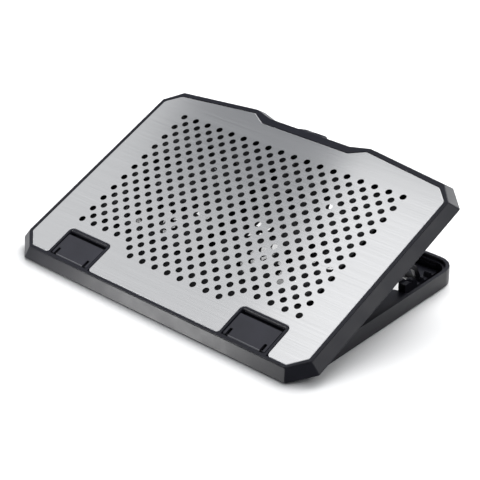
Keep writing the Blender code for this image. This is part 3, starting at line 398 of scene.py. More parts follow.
def copy_of(node, name):
    """A new piece with the CAD node's own mesh, to be refined."""
    source = frame["nodes"][node]
    obj = bpy.data.objects.new(name, source.data.copy())
    obj.data.name = name
    obj.data.materials.clear()
    bpy.context.scene.collection.objects.link(obj)
    return obj


def settle(obj, body, finish, nodes=(), place=None):
    """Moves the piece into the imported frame, dresses it and ties it to its body."""
    if place is not None:
        obj.data.transform(place)
    obj.data.materials.clear()
    obj.data.materials.append(finish)
    for polygon in obj.data.polygons:
        polygon.material_index = 0
    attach(obj, body)
    if nodes:
        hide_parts(*nodes)
    return obj


def second_finish(obj, finish, faces):
    """Gives the faces numbered in faces a finish of their own."""
    obj.data.materials.append(finish)
    for index in faces:
        obj.data.polygons[index].material_index = 1


# ---------------------------------------------------------------- materials


def shader_of(name, color, roughness, metallic=0.0):
    made = bpy.data.materials.new(name)
    made.use_nodes = True
    shader = made.node_tree.nodes["Principled BSDF"]
    shader.inputs["Base Color"].default_value = (*color, 1)
    shader.inputs["Roughness"].default_value = roughness
    shader.inputs["Metallic"].default_value = metallic
    return made, made.node_tree, shader


def noise(tree, scale, detail, stretch=(1, 1, 1), rough=0.5):
    where = tree.nodes.new("ShaderNodeTexCoord")
    fit = tree.nodes.new("ShaderNodeMapping")
    fit.inputs["Scale"].default_value = stretch
    made = tree.nodes.new("ShaderNodeTexNoise")
    made.inputs["Scale"].default_value = scale
    made.inputs["Detail"].default_value = detail
    made.inputs["Roughness"].default_value = rough
    tree.links.new(where.outputs["Object"], fit.inputs["Vector"])
    tree.links.new(fit.outputs["Vector"], made.inputs["Vector"])
    return made.outputs["Fac"]


def spread(tree, value, low, high):
    """Maps a noise value from its usual band to low..high."""
    made = tree.nodes.new("ShaderNodeMapRange")
    made.inputs["From Min"].default_value = 0.3
    made.inputs["From Max"].default_value = 0.7
    made.inputs["To Min"].default_value = low
    made.inputs["To Max"].default_value = high
    tree.links.new(value, made.inputs["Value"])
    return made.outputs["Result"]


def blended(tree, value, first, second):
    made = tree.nodes.new("ShaderNodeMix")
    made.data_type = "RGBA"
    made.inputs["A"].default_value = (*first, 1)
    made.inputs["B"].default_value = (*second, 1)
    tree.links.new(value, made.inputs["Factor"])
    return made.outputs["Result"]


def bumped(tree, shader, value, strength, distance):
    made = tree.nodes.new("ShaderNodeBump")
    made.inputs["Strength"].default_value = strength
    made.inputs["Distance"].default_value = distance
    tree.links.new(value, made.inputs["Height"])
    tree.links.new(made.outputs["Normal"], shader.inputs["Normal"])


def brushed_plate():
    """Aluminium brushed along X, with an anisotropic gloss."""
    made, tree, shader = shader_of("brushed_aluminium", (0.8, 0.8, 0.81), 0.2, 1.0)
    streaks = noise(tree, 1.0, detail=5.0, stretch=(16, 3200, 3200), rough=0.6)
    bands = noise(tree, 1.0, detail=3.0, stretch=(3, 420, 420))
    lines = noise(tree, 1.0, detail=4.0, stretch=(5, 800, 800), rough=0.65)
    fine = blended(tree, spread(tree, streaks, 0, 1), (0.76, 0.76, 0.762), (0.84, 0.84, 0.842))
    coarse = blended(tree, spread(tree, lines, 0, 1), (0.965, 0.965, 0.965), (1.035, 1.035, 1.035))
    both = tree.nodes.new("ShaderNodeVectorMath")
    both.operation = "MULTIPLY"
    tree.links.new(fine, both.inputs[0])
    tree.links.new(coarse, both.inputs[1])
    tree.links.new(both.outputs["Vector"], shader.inputs["Base Color"])
    tree.links.new(spread(tree, bands, 0.22, 0.27), shader.inputs["Roughness"])
    bumped(tree, shader, streaks, strength=0.12, distance=0.00002)
    shader.inputs["Anisotropic"].default_value = 0.6
    tangent = tree.nodes.new("ShaderNodeTangent")
    tangent.direction_type = "UV_MAP"
    tangent.uv_map = "grain"
    tree.links.new(tangent.outputs["Tangent"], shader.inputs["Tangent"])
    return made


def painted_glint_edge():
    """The plate's cut edge, near-white and mostly non-metallic so that it scatters light every way: partly
    a bright sawn edge, partly a painted glint along it.
    """
    made, tree, shader = shader_of("painted_glint_edge", (0.93, 0.93, 0.94), 0.6, 0.2)
    marks = noise(tree, 1400.0, detail=3.0)
    tree.links.new(spread(tree, marks, 0.5, 0.7), shader.inputs["Roughness"])
    bumped(tree, shader, marks, strength=0.2, distance=0.00003)
    return made


def moulded(name, color, roughness, depth=0.00003):
    """Moulded plastic: a fine spark-eroded grain and a faint unevenness of gloss."""
    made, tree, shader = shader_of(name, color, roughness)
    shader.inputs["Specular IOR Level"].default_value = 0.32
    texture = noise(tree, 2600.0, detail=3.0)
    cloud = noise(tree, 38.0, detail=3.0)
    darker = tuple(channel * 0.86 for channel in color)
    lighter = tuple(channel * 1.16 for channel in color)
    tree.links.new(blended(tree, spread(tree, cloud, 0, 1), darker, lighter), shader.inputs["Base Color"])
    tree.links.new(spread(tree, cloud, roughness - 0.04, roughness + 0.05), shader.inputs["Roughness"])
    bumped(tree, shader, texture, strength=0.25, distance=depth)
    return made


def metal(name, color, roughness, stretch=(1, 1, 1)):
    """Metal with fine scratches that dull it here and there."""
    made, tree, shader = shader_of(name, color, roughness, 1.0)
    scratches = noise(tree, 900.0, detail=4.0, stretch=stretch)
    darker = tuple(channel * 0.82 for channel in color)
    tree.links.new(blended(tree, spread(tree, scratches, 0, 1), darker, color), shader.inputs["Base Color"])
    tree.links.new(spread(tree, scratches, roughness - 0.06, roughness + 0.08), shader.inputs["Roughness"])
    bumped(tree, shader, scratches, strength=0.15, distance=0.00002)
    return made


def rubber():
    made, tree, shader = shader_of("foot_rubber", (0.022, 0.022, 0.024), 0.85)
    texture = noise(tree, 1500.0, detail=4.0)
    tree.links.new(spread(tree, texture, 0.75, 0.95), shader.inputs["Roughness"])
    bumped(tree, shader, texture, strength=0.5, distance=0.00008)
    return made


def windings():
    made, tree, shader = shader_of("copper_winding", (0.62, 0.28, 0.12), 0.35, 1.0)
    turns = noise(tree, 1.0, detail=2.0, stretch=(150, 1800, 1800))
    color = blended(tree, spread(tree, turns, 0, 1), (0.36, 0.14, 0.06), (0.72, 0.34, 0.16))
    tree.links.new(color, shader.inputs["Base Color"])
    bumped(tree, shader, turns, strength=0.6, distance=0.0001)
    return made


def board_mask():
    made, tree, shader = shader_of("solder_mask", (0.009, 0.027, 0.017), 0.4)
    tracks = noise(tree, 260.0, detail=2.0)
    color = blended(tree, spread(tree, tracks, 0, 1), (0.006, 0.020, 0.012), (0.012, 0.035, 0.022))
    tree.links.new(color, shader.inputs["Base Color"])
    tree.links.new(spread(tree, tracks, 0.3, 0.5), shader.inputs["Roughness"])
    return made


RIM_PLASTIC = moulded("rim_plastic", (0.0052, 0.0054, 0.0095), roughness=0.38)
BASE_PLASTIC = moulded("base_plastic", (0.0075, 0.0075, 0.0110), roughness=0.38)
COVER_PLASTIC = moulded("cover_plastic", (0.014, 0.014, 0.016), roughness=0.5, depth=0.00006)
FLAP_PLASTIC = moulded("flap_plastic", (0.020, 0.020, 0.026), roughness=0.42)
# Lighter, glossier plastic on the flap's front edge: a painted highlight along that edge.
FLAP_EDGE_HIGHLIGHT = moulded("flap_edge_painted_highlight", (0.22, 0.22, 0.235), roughness=0.3)
FAN_PLASTIC = moulded("fan_plastic", (0.020, 0.020, 0.022), roughness=0.42)
DIAL_PLASTIC = moulded("dial_plastic", (0.045, 0.045, 0.05), roughness=0.45)
PLATE_METAL = brushed_plate()
# Near-white finish for the plate's edge chamfer: a bright cut edge with a painted glint.
GLINT_EDGE_METAL = painted_glint_edge()
STEEL = metal("plated_steel", (0.58, 0.58, 0.60), roughness=0.3)
ARM_STEEL = metal("arm_steel", (0.075, 0.075, 0.08), roughness=0.36, stretch=(1, 3, 3))
SCREW_METAL = metal("black_zinc", (0.20, 0.20, 0.22), roughness=0.38)
PIN_METAL = metal("black_oxide", (0.035, 0.035, 0.038), roughness=0.45)
BRONZE = metal("sintered_bronze", (0.52, 0.35, 0.18), roughness=0.45)
RUBBER = rubber()
COPPER = windings()
BOARD = board_mask()
LEAD_PLASTIC = moulded("lead_jacket", (0.02, 0.02, 0.022), roughness=0.5)
PART_PLASTIC = moulded("component_black", (0.015, 0.015, 0.017), roughness=0.35)


# ---------------------------------------------------------------- deck


def hole_centres():
    centres = []
    for row in range(HOLE_ROWS):
        centres += row_of_holes(row, HOLE_COLUMNS - row % 2)
    for extra, count in enumerate(EXTRA_ROWS):
        centres += row_of_holes(HOLE_ROWS + extra, count)
    return centres


def row_of_holes(row, count):
    y = HOLE_TOP_Y - row * HOLE_PITCH_Y / 2
    return [((k - (count - 1) / 2) * HOLE_PITCH_X, y) for k in range(count)]


def plate_corners():
    inner, outer = STOP_X - STOP_HALF, STOP_X + STOP_HALF
    notch = (
        (inner, 0, STOP_FRONT_RADIUS),
        (inner, STOP_DEPTH, STOP_REAR_RADIUS),
        (outer, STOP_DEPTH, STOP_REAR_RADIUS),
        (outer, 0, STOP_FRONT_RADIUS),
    )
    return mirrored(notch + PLATE_CORNERS)


def on_border(face):
    """True for a face of the outer chamfer, false for one of a hole's rim."""
    centre = face.center / MM
    clear = (HOLE_RADIUS + HOLE_CLEAR) ** 2
    return all((centre.x - x) ** 2 + (centre.y - y) ** 2 > clear for x, y in hole_centres())


def add_plate():
    def loops(outer_inset, hole_radius):
        outline = rounded(grown(plate_corners(), -outer_inset))
        return [outline] + [circle(x, y, hole_radius, HOLE_SIDES) for x, y in hole_centres()]

    plate = layered(
        "plate",
        [
            (-PLATE_THICK, loops(0, HOLE_RADIUS + HOLE_BREAKOUT)),
            (-PLATE_CHAMFER, loops(0, HOLE_RADIUS + HOLE_EASE)),
            (0, loops(PLATE_CHAMFER, HOLE_RADIUS)),
        ],
    )
    grain = plate.data.uv_layers.new(name="grain")
    for loop in plate.data.loops:
        place = plate.data.vertices[loop.vertex_index].co
        grain.data[loop.index].uv = (place.y / GRAIN_UV_Y, -place.x / GRAIN_UV_X)
    shaded(plate, 20)
    sloping = [face for face in plate.data.polygons if 0.2 < face.normal.z < 0.98]
    chamfer = [face.index for face in sloping if on_border(face)]
    settle(plate, "deck", PLATE_METAL, ["top_plate"], DECK)
    # The edge chamfer takes the near-white finish, a painted glint.
    second_finish(plate, GLINT_EDGE_METAL, chamfer)


def rim_outline(grow):
    return rounded(grown(mirrored(RIM_CORNERS), grow, RIM_FOLLOW))


def rim_loop(grow, level):
    return [upright(point, level) for point in rim_outline(grow)]


def lip_loop(grow, level):
    """Like rim_loop, but wider along the rear, where the wall below is steeper."""
    side_end = RIM_CORNERS[2][1]
    corners = mirrored(RIM_CORNERS)
    corners = [(x, y + LIP_REAR_EXTRA if y > side_end else y, r) for x, y, r in corners]
    return [upright(point, level) for point in rounded(grown(corners, grow, RIM_FOLLOW))]


def plate_loop(grow, level):
    return [upright(point, level) for point in rounded(grown(mirrored(PLATE_CORNERS), grow))]


def rim_wall_y(level):
    """How far back the rim's flared wall reaches at a level, in the middle of the rear."""
    share = (LIP_EDGE_Z - level) / (LIP_EDGE_Z - FLARE_Z)
    return RIM_CORNERS[-1][1] + FLARE * share


def port_housing():
    def section(level, shrink=0.0):
        rear = rim_wall_y(level)
        inner = PORT_HALF - PORT_TAPER
        out = rear + PORT_PROUD - shrink
        shoulder, eased_out = inner + PORT_SHOULDER, out - PORT_EASE
        half = [(PORT_HALF, rear - PORT_INTO_RIM), (PORT_HALF, rear - PORT_EASE)]
        half += [(shoulder, eased_out), (inner, out)]
        left = [(-x, y) for x, y in reversed(half)]
        return [upright(point, level) for point in left[-1:] + half + left[:-1]]

    levels = [(FLARE_Z + 0.2, 0.8), (FLARE_Z + 1.0, 0.0), (LIP_EDGE_Z - 1.4, 0.0), (LIP_EDGE_Z - 1.0, 0.25)]
    return stack_of_loops("port_housing", [section(level, shrink) for level, shrink in levels])


def stop_blocks():
    half, rear = STOP_HALF - SEAM, STOP_DEPTH - SEAM
    blocks = []
    for side in SIDES.values():
        x0, x1 = side * STOP_X - half, side * STOP_X + half
        shape = [(x0, STOP_FRONT_Y, 0.5), (x1, STOP_FRONT_Y, 0.5)]
        shape += [(x1, rear, STOP_REAR_RADIUS), (x0, rear, STOP_REAR_RADIUS)]
        blocks.append(slab("stop_block", rounded(shape), STOP_FLOOR, LIP_Z - 0.02))
    return blocks


def stop_pockets():
    cutters = []
    for side in SIDES.values():
        x0, x1 = side * STOP_X - STOP_POCKET_HALF, side * STOP_X + STOP_POCKET_HALF
        straight = box_outline(x0, x1, SEAM, STOP_POCKET_REAR, 0.6)
        side_flare, rear_edge = POCKET_FLARE_SIDE, STOP_POCKET_REAR + POCKET_FLARE_REAR
        mouth = box_outline(x0 - side_flare, x1 + side_flare, SEAM, rear_edge, 1.4)
        side_flare, rear_edge = side_flare + 0.05, rear_edge + 0.1
        wide = box_outline(x0 - side_flare, x1 + side_flare, SEAM, rear_edge, 1.4)
        layers = [(STOP_POCKET_FLOOR, straight), (POCKET_FLARE_Z, straight)]
        layers += [(LIP_Z, mouth), (LIP_Z + 1, wide)]
        cutters.append(layered("stop_pocket", [(level, [loop]) for level, loop in layers]))
        reach = STOP_HALF - STOP_PIN_INSET
        x0, x1 = side * STOP_X - reach, side * STOP_X + reach
        cutters.append(rod("pin_bore", FLAP_AXIS_Y, FLAP_AXIS_Z, STOP_PIN_BORE, x0, x1))
    return cutters


def port_holes():
    front, rear = SOCKET_REAR - SOCKET_ROOM_FRONT, SOCKET_REAR + SOCKET_ROOM_REAR
    outlet = box_outline(OUTLET_X - OUTLET_WIDE / 2 - SEAM, OUTLET_X + OUTLET_WIDE / 2 + SEAM, front, rear)
    inlet = box_outline(INLET_X - INLET_WIDE / 2 - SEAM, INLET_X + INLET_WIDE / 2 + SEAM, front, rear)
    dial_room = circle(DIAL_X, DIAL_Y, DIAL_RADIUS + DIAL_ROOM, 48)
    return [
        slab("outlet_hole", outlet, OUTLET_LOW - SEAM, OUTLET_HIGH + SEAM),
        slab("inlet_hole", inlet, INLET_LOW - SEAM, INLET_HIGH + SEAM),
        slab("dial_hole", dial_room, DIAL_LOW - SEAM, DIAL_HIGH + SEAM),
    ]


def screw_spots():
    return [(side * x, y) for x, y in COVER_SCREWS for side in SIDES.values()]


def add_rim():
    """Flared rim with a rounded lip, a fine groove along it, and its inner ledge."""
    rim = tube_of_loops(
        "rim",
        [
            plate_loop(SEAM, 0.05),
            plate_loop(SEAM + 0.3, LIP_Z),
            lip_loop(-0.75, LIP_Z),
            lip_loop(-0.4, 0.28),
            lip_loop(-0.12, 0.1),
            lip_loop(0, -0.15),
            lip_loop(0, -0.6),
            lip_loop(0.35, -0.6),
            lip_loop(0.5, -0.8),
            rim_loop(FLARE - 0.35, -9.05),
            rim_loop(FLARE, -9.55),
            rim_loop(FLARE - 0.15, -9.95),
            rim_loop(FLARE - 0.6, RIM_BOTTOM),
            rim_loop(FLARE - 3.0, RIM_BOTTOM),
            rim_loop(-2.0, LEDGE_BOTTOM),
            plate_loop(-LEDGE_WIDTH, LEDGE_BOTTOM),
            plate_loop(-LEDGE_WIDTH, LEDGE_TOP),
            plate_loop(SEAM, LEDGE_TOP),
        ],
    )
    bosses = [post("boss", x, y, BOSS_RADIUS, BOSS_LOW, LEDGE_BOTTOM + 0.7) for x, y in screw_spots()]
    join(rim, port_housing(), *stop_blocks(), *bosses)
    bores = [post("bore", x, y, BOSS_BORE, BOSS_BORE_LOW, BOSS_BORE_HIGH) for x, y in screw_spots()]
    cut(rim, *stop_pockets(), *port_holes(), *bores)
    eased(rim, 0.3, angle=40)
    settle(rim, "deck", RIM_PLASTIC, ["deck_frame"], DECK)


def on_front_edge(face):
    """True for a face of the flap's round front edge, between its slots, that looks up and forward."""
    centre = face.center / MM
    return abs(centre.x) < FLAP_SLOT[0] and centre.y < -0.7 and 0.3 < face.normal.z < 0.96


def add_flap(name, side):
    barrel = arc(0, 0, FLAP_BARREL, 90, 270, 12)
    under = [(1.3, -1.6), (2.3, -FLAP_UNDER), (FLAP_LENGTH, -FLAP_UNDER), (FLAP_LENGTH, 1.2)]
    top = [(FLAP_LENGTH - 0.5, 1.75), (FLAP_LENGTH - 1.3, FLAP_BARREL)]
    flap = slab(f"flap_{name}", barrel + under + top, -FLAP_HALF, FLAP_HALF, place=across)
    slot_in, slot_out, slot_rear = FLAP_SLOT
    cutters = [rod("flap_bore", 0, 0, FLAP_BORE, -FLAP_HALF - CUT_OVER, FLAP_HALF + CUT_OVER)]
    for hand in SIDES.values():
        x0, x1 = sorted((hand * slot_in, hand * slot_out))
        slot = box_outline(x0, x1, -FLAP_BARREL - 6, slot_rear, FLAP_SLOT_RADIUS)
        cutters.append(slab("flap_slot", slot, -FLAP_BARREL - CUT_OVER, FLAP_BARREL + CUT_OVER))
    cut(flap, *cutters)
    eased(flap, 0.3, segments=3)
    place = DECK @ Matrix.Translation(Vector((side * STOP_X, FLAP_AXIS_Y, FLAP_AXIS_Z)) * MM)
    # The faces of the round front edge that look up and forward get the painted highlight.
    highlight_faces = [face.index for face in flap.data.polygons if on_front_edge(face)]
    settle(flap, f"stop_{name}", FLAP_PLASTIC, [f"stop_flap_{name}"], place)
    second_finish(flap, FLAP_EDGE_HIGHLIGHT, highlight_faces)


# ---------------------------------------------------------------- fans


def fan_screw_offsets():
    """Each fan is held at two opposite corners."""
    inset = FAN_HALF - FAN_SCREW_INSET
    return ((-inset, -inset), (inset, inset))


def add_fan_frame(name, side):
    x = side * FAN_X
    square = box_outline(x - FAN_HALF, x + FAN_HALF, FAN_Y - FAN_HALF, FAN_Y + FAN_HALF, FAN_CORNER)
    body = slab(f"fan_body_{name}", square, FAN_BOTTOM, FAN_TOP, [circle(x, FAN_Y, FAN_BORE, 96)])
    adds = [post("mount", x, FAN_Y, FAN_MOUNT_RADIUS, FAN_BOTTOM + 0.1, FAN_MOUNT_TOP, 48)]
    for quarter in range(4):
        bar = box_outline(FAN_MOUNT_RADIUS - 2, FAN_BORE + 1.5, -FAN_STRUT_HALF, FAN_STRUT_HALF)
        strut = slab("strut", bar, FAN_BOTTOM + 0.15, FAN_MOUNT_TOP - 0.1)
        turn = Matrix.Rotation(math.radians(45 + 90 * quarter), 4, "Z")
        strut.data.transform(Matrix.Translation(Vector((x, FAN_Y, 0)) * MM) @ turn)
        adds.append(strut)
    join(body, *adds)
    low, high = FAN_BOTTOM - CUT_OVER, FAN_BOTTOM + 8
    cut(body, *(post("hole", x + dx, FAN_Y + dy, SCREW_HOLE, low, high) for dx, dy in fan_screw_offsets()))
    eased(body, 0.5)
    settle(body, "deck", FAN_PLASTIC, [f"fan_frame_{name}"], DECK)


def blade(index):
    """One swept, twisted and cambered blade, rooted inside the hub's wall."""
    mid, half = (BLADE_TOP + BLADE_BOTTOM) / 2, (BLADE_TOP - BLADE_BOTTOM) / 2
    loops = []
    for k in range(BLADE_STATIONS + 1):
        share = k / BLADE_STATIONS
        radius = HUB_RADIUS - BLADE_ROOTED + (BLADE_TIP - HUB_RADIUS + BLADE_ROOTED) * share
        sweep = math.radians(360 / BLADE_COUNT * index + BLADE_LEAN * share * share)
        chord = math.radians(BLADE_SWEEP_ROOT + (BLADE_SWEEP_TIP - BLADE_SWEEP_ROOT) * share) / 2
        rise = half * (1 - BLADE_FLATTER * share)
        upper, lower = [], []
        for step in range(BLADE_ACROSS + 1):
            where = 2 * step / BLADE_ACROSS - 1
            skin = BLADE_THICK / 2 * (BLADE_EDGE + (1 - BLADE_EDGE) * (1 - where * where) ** 0.5)
            height = mid + rise * where - BLADE_CAMBER * (1 - where * where)
            angle = sweep + chord * where
            upper.append((radius * math.cos(angle), radius * math.sin(angle), height + skin))
            lower.append((radius * math.cos(angle), radius * math.sin(angle), height - skin))
        loops.append(upper + lower[::-1])
    return stack_of_loops("blade", loops)


def add_impeller(name, side):
    cup = [
        (HUB_BORE, HUB_TOP - 1.2),
        (HUB_RADIUS - HUB_WALL, HUB_TOP - 1.2),
        (HUB_RADIUS - HUB_WALL, HUB_BOTTOM),
        (HUB_RADIUS, HUB_BOTTOM),
        (HUB_RADIUS, HUB_TOP - 1.6),
        (HUB_RADIUS - 0.25, HUB_TOP - 0.8),
        (HUB_RADIUS - 0.8, HUB_TOP - 0.25),
        (HUB_RADIUS - 1.6, HUB_TOP),
        (LABEL_RADIUS, HUB_TOP),
        (LABEL_RADIUS - LABEL_DEEP, HUB_TOP - LABEL_DEEP),
        (HUB_BORE, HUB_TOP - LABEL_DEEP),
    ]
    rotor = turned(f"rotor_{name}", cup, 64)
    cap = post("cap", 0, 0, CAP_RADIUS, HUB_TOP - 1.1, HUB_TOP - 0.42)
    join(rotor, cap, *(blade(index) for index in range(BLADE_COUNT)))
    shaded(rotor, 30)
    place = DECK @ Matrix.Translation(Vector((side * FAN_X, FAN_Y, 0)) * MM)
    settle(rotor, f"fan_rotor_{name}", FAN_PLASTIC, [f"impeller_{name}"], place)


# ---------------------------------------------------------------- cover


def grille_slots(x):
    cutters = []
    for ring in range(GRILLE_RINGS):
        inner = GRILLE_INNER + ring * GRILLE_STEP
        outer = inner + GRILLE_SLOT
        for spoke in range(GRILLE_SPOKES):
            first = 360 / GRILLE_SPOKES * spoke
            last = first + 360 / GRILLE_SPOKES
            trim_in = math.degrees(GRILLE_SPOKE_HALF / inner)
            trim_out = math.degrees(GRILLE_SPOKE_HALF / outer)
            edge_in = arc(x, FAN_Y, inner, first + trim_in, last - trim_in, GRILLE_ARC_STEPS)
            edge_out = arc(x, FAN_Y, outer, first + trim_out, last - trim_out, GRILLE_ARC_STEPS)
            cutters.append(edge_out + edge_in[::-1])
    return cutters


def belly_outline(inset):
    low, high = BELLY_FRONT + inset, BELLY_REAR - inset
    return box_outline(-BELLY_HALF + inset, BELLY_HALF - inset, low, high, BELLY_CORNER - inset)


def tilt_lug(side):
    x0, x1 = sorted((side * TILT_LUG_IN, side * TILT_LUG_OUT))
    ear = arc(HINGE_DECK_Y, HINGE_DECK_Z, TILT_LUG_RADIUS, -180, 0, 20)
    half, top = TILT_LUG_RADIUS + TILT_LUG_SPREAD, PANEL_TOP - LUG_OVERLAP
    ear += [(HINGE_DECK_Y + half, top), (HINGE_DECK_Y - half, top)]
    return slab("tilt_lug", ear, x0, x1, place=across)


def arm_lug(x0, x1):
    low_half, top_half, top = ARM_EYE, ARM_EYE + ARM_LUG_SPREAD, PANEL_TOP - LUG_OVERLAP
    ear = [(ARM_PIVOT_Y - top_half, top), (ARM_PIVOT_Y - low_half, ARM_LUG_LOW)]
    ear += [(ARM_PIVOT_Y + low_half, ARM_LUG_LOW), (ARM_PIVOT_Y + top_half, top)]
    return slab("arm_lug", ear, x0, x1, place=across)


def cover_bores():
    cutters = []
    for side in SIDES.values():
        x0, x1 = sorted((side * (TILT_LUG_IN - CUT_OVER), side * (TILT_LUG_OUT + CUT_OVER)))
        cutters.append(rod("tilt_bore", HINGE_DECK_Y, HINGE_DECK_Z, TILT_PIN_BORE, x0, x1))
        reach = ARM_LUG_GAP + ARM_LUG_THICK + CUT_OVER
        x0, x1 = side * ARM_X - reach, side * ARM_X + reach
        cutters.append(rod("arm_bore", ARM_PIVOT_Y, ARM_PIVOT_Z, ARM_PIN_BORE, x0, x1))
        low, high = BELLY_BOTTOM - CUT_OVER, BELLY_FLOOR + CUT_OVER
        for dx, dy in fan_screw_offsets():
            cutters.append(post("hole", side * FAN_X + dx, FAN_Y + dy, SCREW_HOLE, low, high))
    low, high = PANEL_BOTTOM - CUT_OVER, PANEL_TOP + CUT_OVER
    for x, y in screw_spots():
        cutters.append(post("hole", x, y, SCREW_HOLE, low, high))
    return cutters


def add_cover():
    opening = belly_outline(BELLY_WALL)
    holes = [opening]
    for side in SIDES.values():
        x = side * ARM_X
        holes.append(box_outline(x - ARM_SLOT_HALF, x + ARM_SLOT_HALF, ARM_SLOT_FRONT, ARM_SLOT_REAR, 1.0))
    cover = slab("cover", rim_outline(PANEL_GROW), PANEL_BOTTOM, PANEL_TOP, holes)
    slots = grille_slots(-FAN_X) + grille_slots(FAN_X)
    adds = [
        slab("belly_wall", belly_outline(0), BELLY_FLOOR - 0.4, PANEL_TOP - 0.3, [opening]),
        slab("belly_floor", belly_outline(0.05), BELLY_BOTTOM, BELLY_FLOOR, slots),
    ]
    for side in SIDES.values():
        adds.append(tilt_lug(side))
        for inner in (-1, 1):
            near = side * ARM_X + inner * ARM_LUG_GAP
            far = near + inner * ARM_LUG_THICK
            adds.append(arm_lug(min(near, far), max(near, far)))
    join(cover, *adds)
    cut(cover, *cover_bores())
    eased(cover, 0.35)
    settle(cover, "deck", COVER_PLASTIC, ["bottom_cover"], DECK)


def refined(node, body, finish, width, segments=2):
    """The CAD node's own shape with its edges eased."""
    piece = copy_of(node, f"{node}_fine")
    eased(piece, width, segments)
    settle(piece, body, finish, [node])


def add_screw(node, x, y, under_head):
    """Pan head with a cross recess, above a threaded shank."""
    head = under_head - SCREW_HEAD_TALL
    profile = [(SCREW_HEAD - 0.4, head), (SCREW_HEAD - 0.1, head + 0.1), (SCREW_HEAD, head + 0.3)]
    profile += [(SCREW_HEAD, under_head), (SCREW_SHANK, under_head + 0.01)]
    for turn in range(THREAD_TURNS):
        level = under_head + THREAD_START + turn * THREAD_PITCH
        profile += [(SCREW_SHANK, level), (SCREW_SHANK - THREAD_DEEP, level + THREAD_PITCH / 2)]
    loops = [[upright(point, level) for point in circle(x, y, radius, 24)] for radius, level in profile]
    screw = stack_of_loops(f"{node}_fine", loops)
    bar = box_outline(-RECESS_LONG / 2, RECESS_LONG / 2, -RECESS_WIDE / 2, RECESS_WIDE / 2)
    bars = []
    for turn in (45, 135):
        slot = slab("slot", bar, head - 1, head + RECESS_DEEP)
        place = Matrix.Translation(Vector((x, y, 0)) * MM) @ Matrix.Rotation(math.radians(turn), 4, "Z")
        slot.data.transform(place)
        bars.append(slot)
    cut(screw, *bars)
    shaded(screw, 35)
    settle(screw, "deck", SCREW_METAL, [node], DECK)


def add_screws():
    for number, (x, y) in enumerate(screw_spots(), 1):
        add_screw(f"cover_screw_{number}", x, y, PANEL_BOTTOM - SCREW_GAP)
    for name, side in SIDES.items():
        for number, (dx, dy) in enumerate(fan_screw_offsets(), 1):
            x, y = side * FAN_X + dx, FAN_Y + dy
            add_screw(f"fan_screw_{name}_{number}", x, y, BELLY_BOTTOM - SCREW_GAP)


# ---------------------------------------------------------------- electrics


def add_dial():
    """Knurled thumb wheel with a shallow dish in its upper face."""
    rim = []
    for k in range(DIAL_TEETH):
        step = 2 * math.pi / DIAL_TEETH
        for share, inset in ((0.0, 0.0), (0.3, 0.0), (0.5, DIAL_TOOTH), (0.8, DIAL_TOOTH)):
            angle, radius = step * (k + share), DIAL_RADIUS - inset
            rim.append((radius * math.cos(angle), radius * math.sin(angle)))
    dial = slab("dial", rim, DIAL_LOW, DIAL_HIGH, [circle(0, 0, DIAL_BORE, 24)])
    cut(dial, slab("dish", circle(0, 0, DIAL_DISH_RADIUS, 48), DIAL_HIGH - DIAL_DISH_DEEP, DIAL_HIGH + 1))
    eased(dial, 0.12)
    place = DECK @ Matrix.Translation(Vector((DIAL_X, DIAL_Y, 0)) * MM)
    settle(dial, "speed_dial", DIAL_PLASTIC, ["speed_dial"], place)


def add_board_parts():
    """Small parts soldered on the control board, inside the deck."""
    for number, (x, y, wide, deep, tall) in enumerate(BOARD_PARTS, 1):
        outline = box_outline(x - wide / 2, x + wide / 2, y - deep / 2, y + deep / 2)
        part = slab(f"board_part_{number}", outline, BOARD_HIGH + SOLDER_GAP, BOARD_HIGH + tall)
        eased(part, 0.15)
        settle(part, "deck", PART_PLASTIC, (), DECK)


# ---------------------------------------------------------------- the rest


def add_refined():
    refined("base_frame", "base", BASE_PLASTIC, 0.45)
    for name in SIDES:
        refined(f"prop_arm_{name}", f"prop_{name}", ARM_STEEL, 0.8, segments=3)
        refined(f"foot_front_{name}", "base", RUBBER, 0.5, segments=3)
        refined(f"foot_rear_{name}", "base", RUBBER, 0.5, segments=3)
        refined(f"tilt_pin_{name}", "base", STEEL, 0.4)
        refined(f"prop_pin_{name}", "deck", STEEL, 0.3)
    refined("usb_outlet", "deck", STEEL, 0.12)
    refined("usb_inlet", "deck", STEEL, 0.12)
    refined("dial_mount", "deck", PART_PLASTIC, 0.15)
    refined("control_board", "deck", BOARD, 0.1, segments=1)


def dress_nodes():
    """Finishes for the CAD nodes that stay as they are."""
    plain = {}
    for name in SIDES:
        plain[f"fan_stator_{name}"] = COPPER
        plain[f"fan_bush_{name}"] = BRONZE
        plain[f"fan_shaft_{name}"] = STEEL
        plain[f"stop_pin_{name}"] = PIN_METAL
        plain[f"fan_lead_{name}"] = LEAD_PLASTIC
    for node, finish in plain.items():
        obj = frame["nodes"][node]
        for slot in obj.material_slots:
            slot.material = finish


# ---------------------------------------------------------------- studio

FLOOR_HALF, FLOOR_COLOR = 8.0, (0.64, 0.64, 0.64)
# (direction's y, grey level) of the studio overhead and round the horizon
SKY_HIGH = ((-0.6, 0.55), (-0.15, 0.27), (0.3, 0.27), (0.6, 0.6))
SKY_LOW = ((-0.55, 0.07), (-0.25, 0.6), (0.5, 0.6), (0.8, 0.1))
SKY_TINT = (0.97, 1.0, 1.055)
HORIZON = (0.3, 0.6)
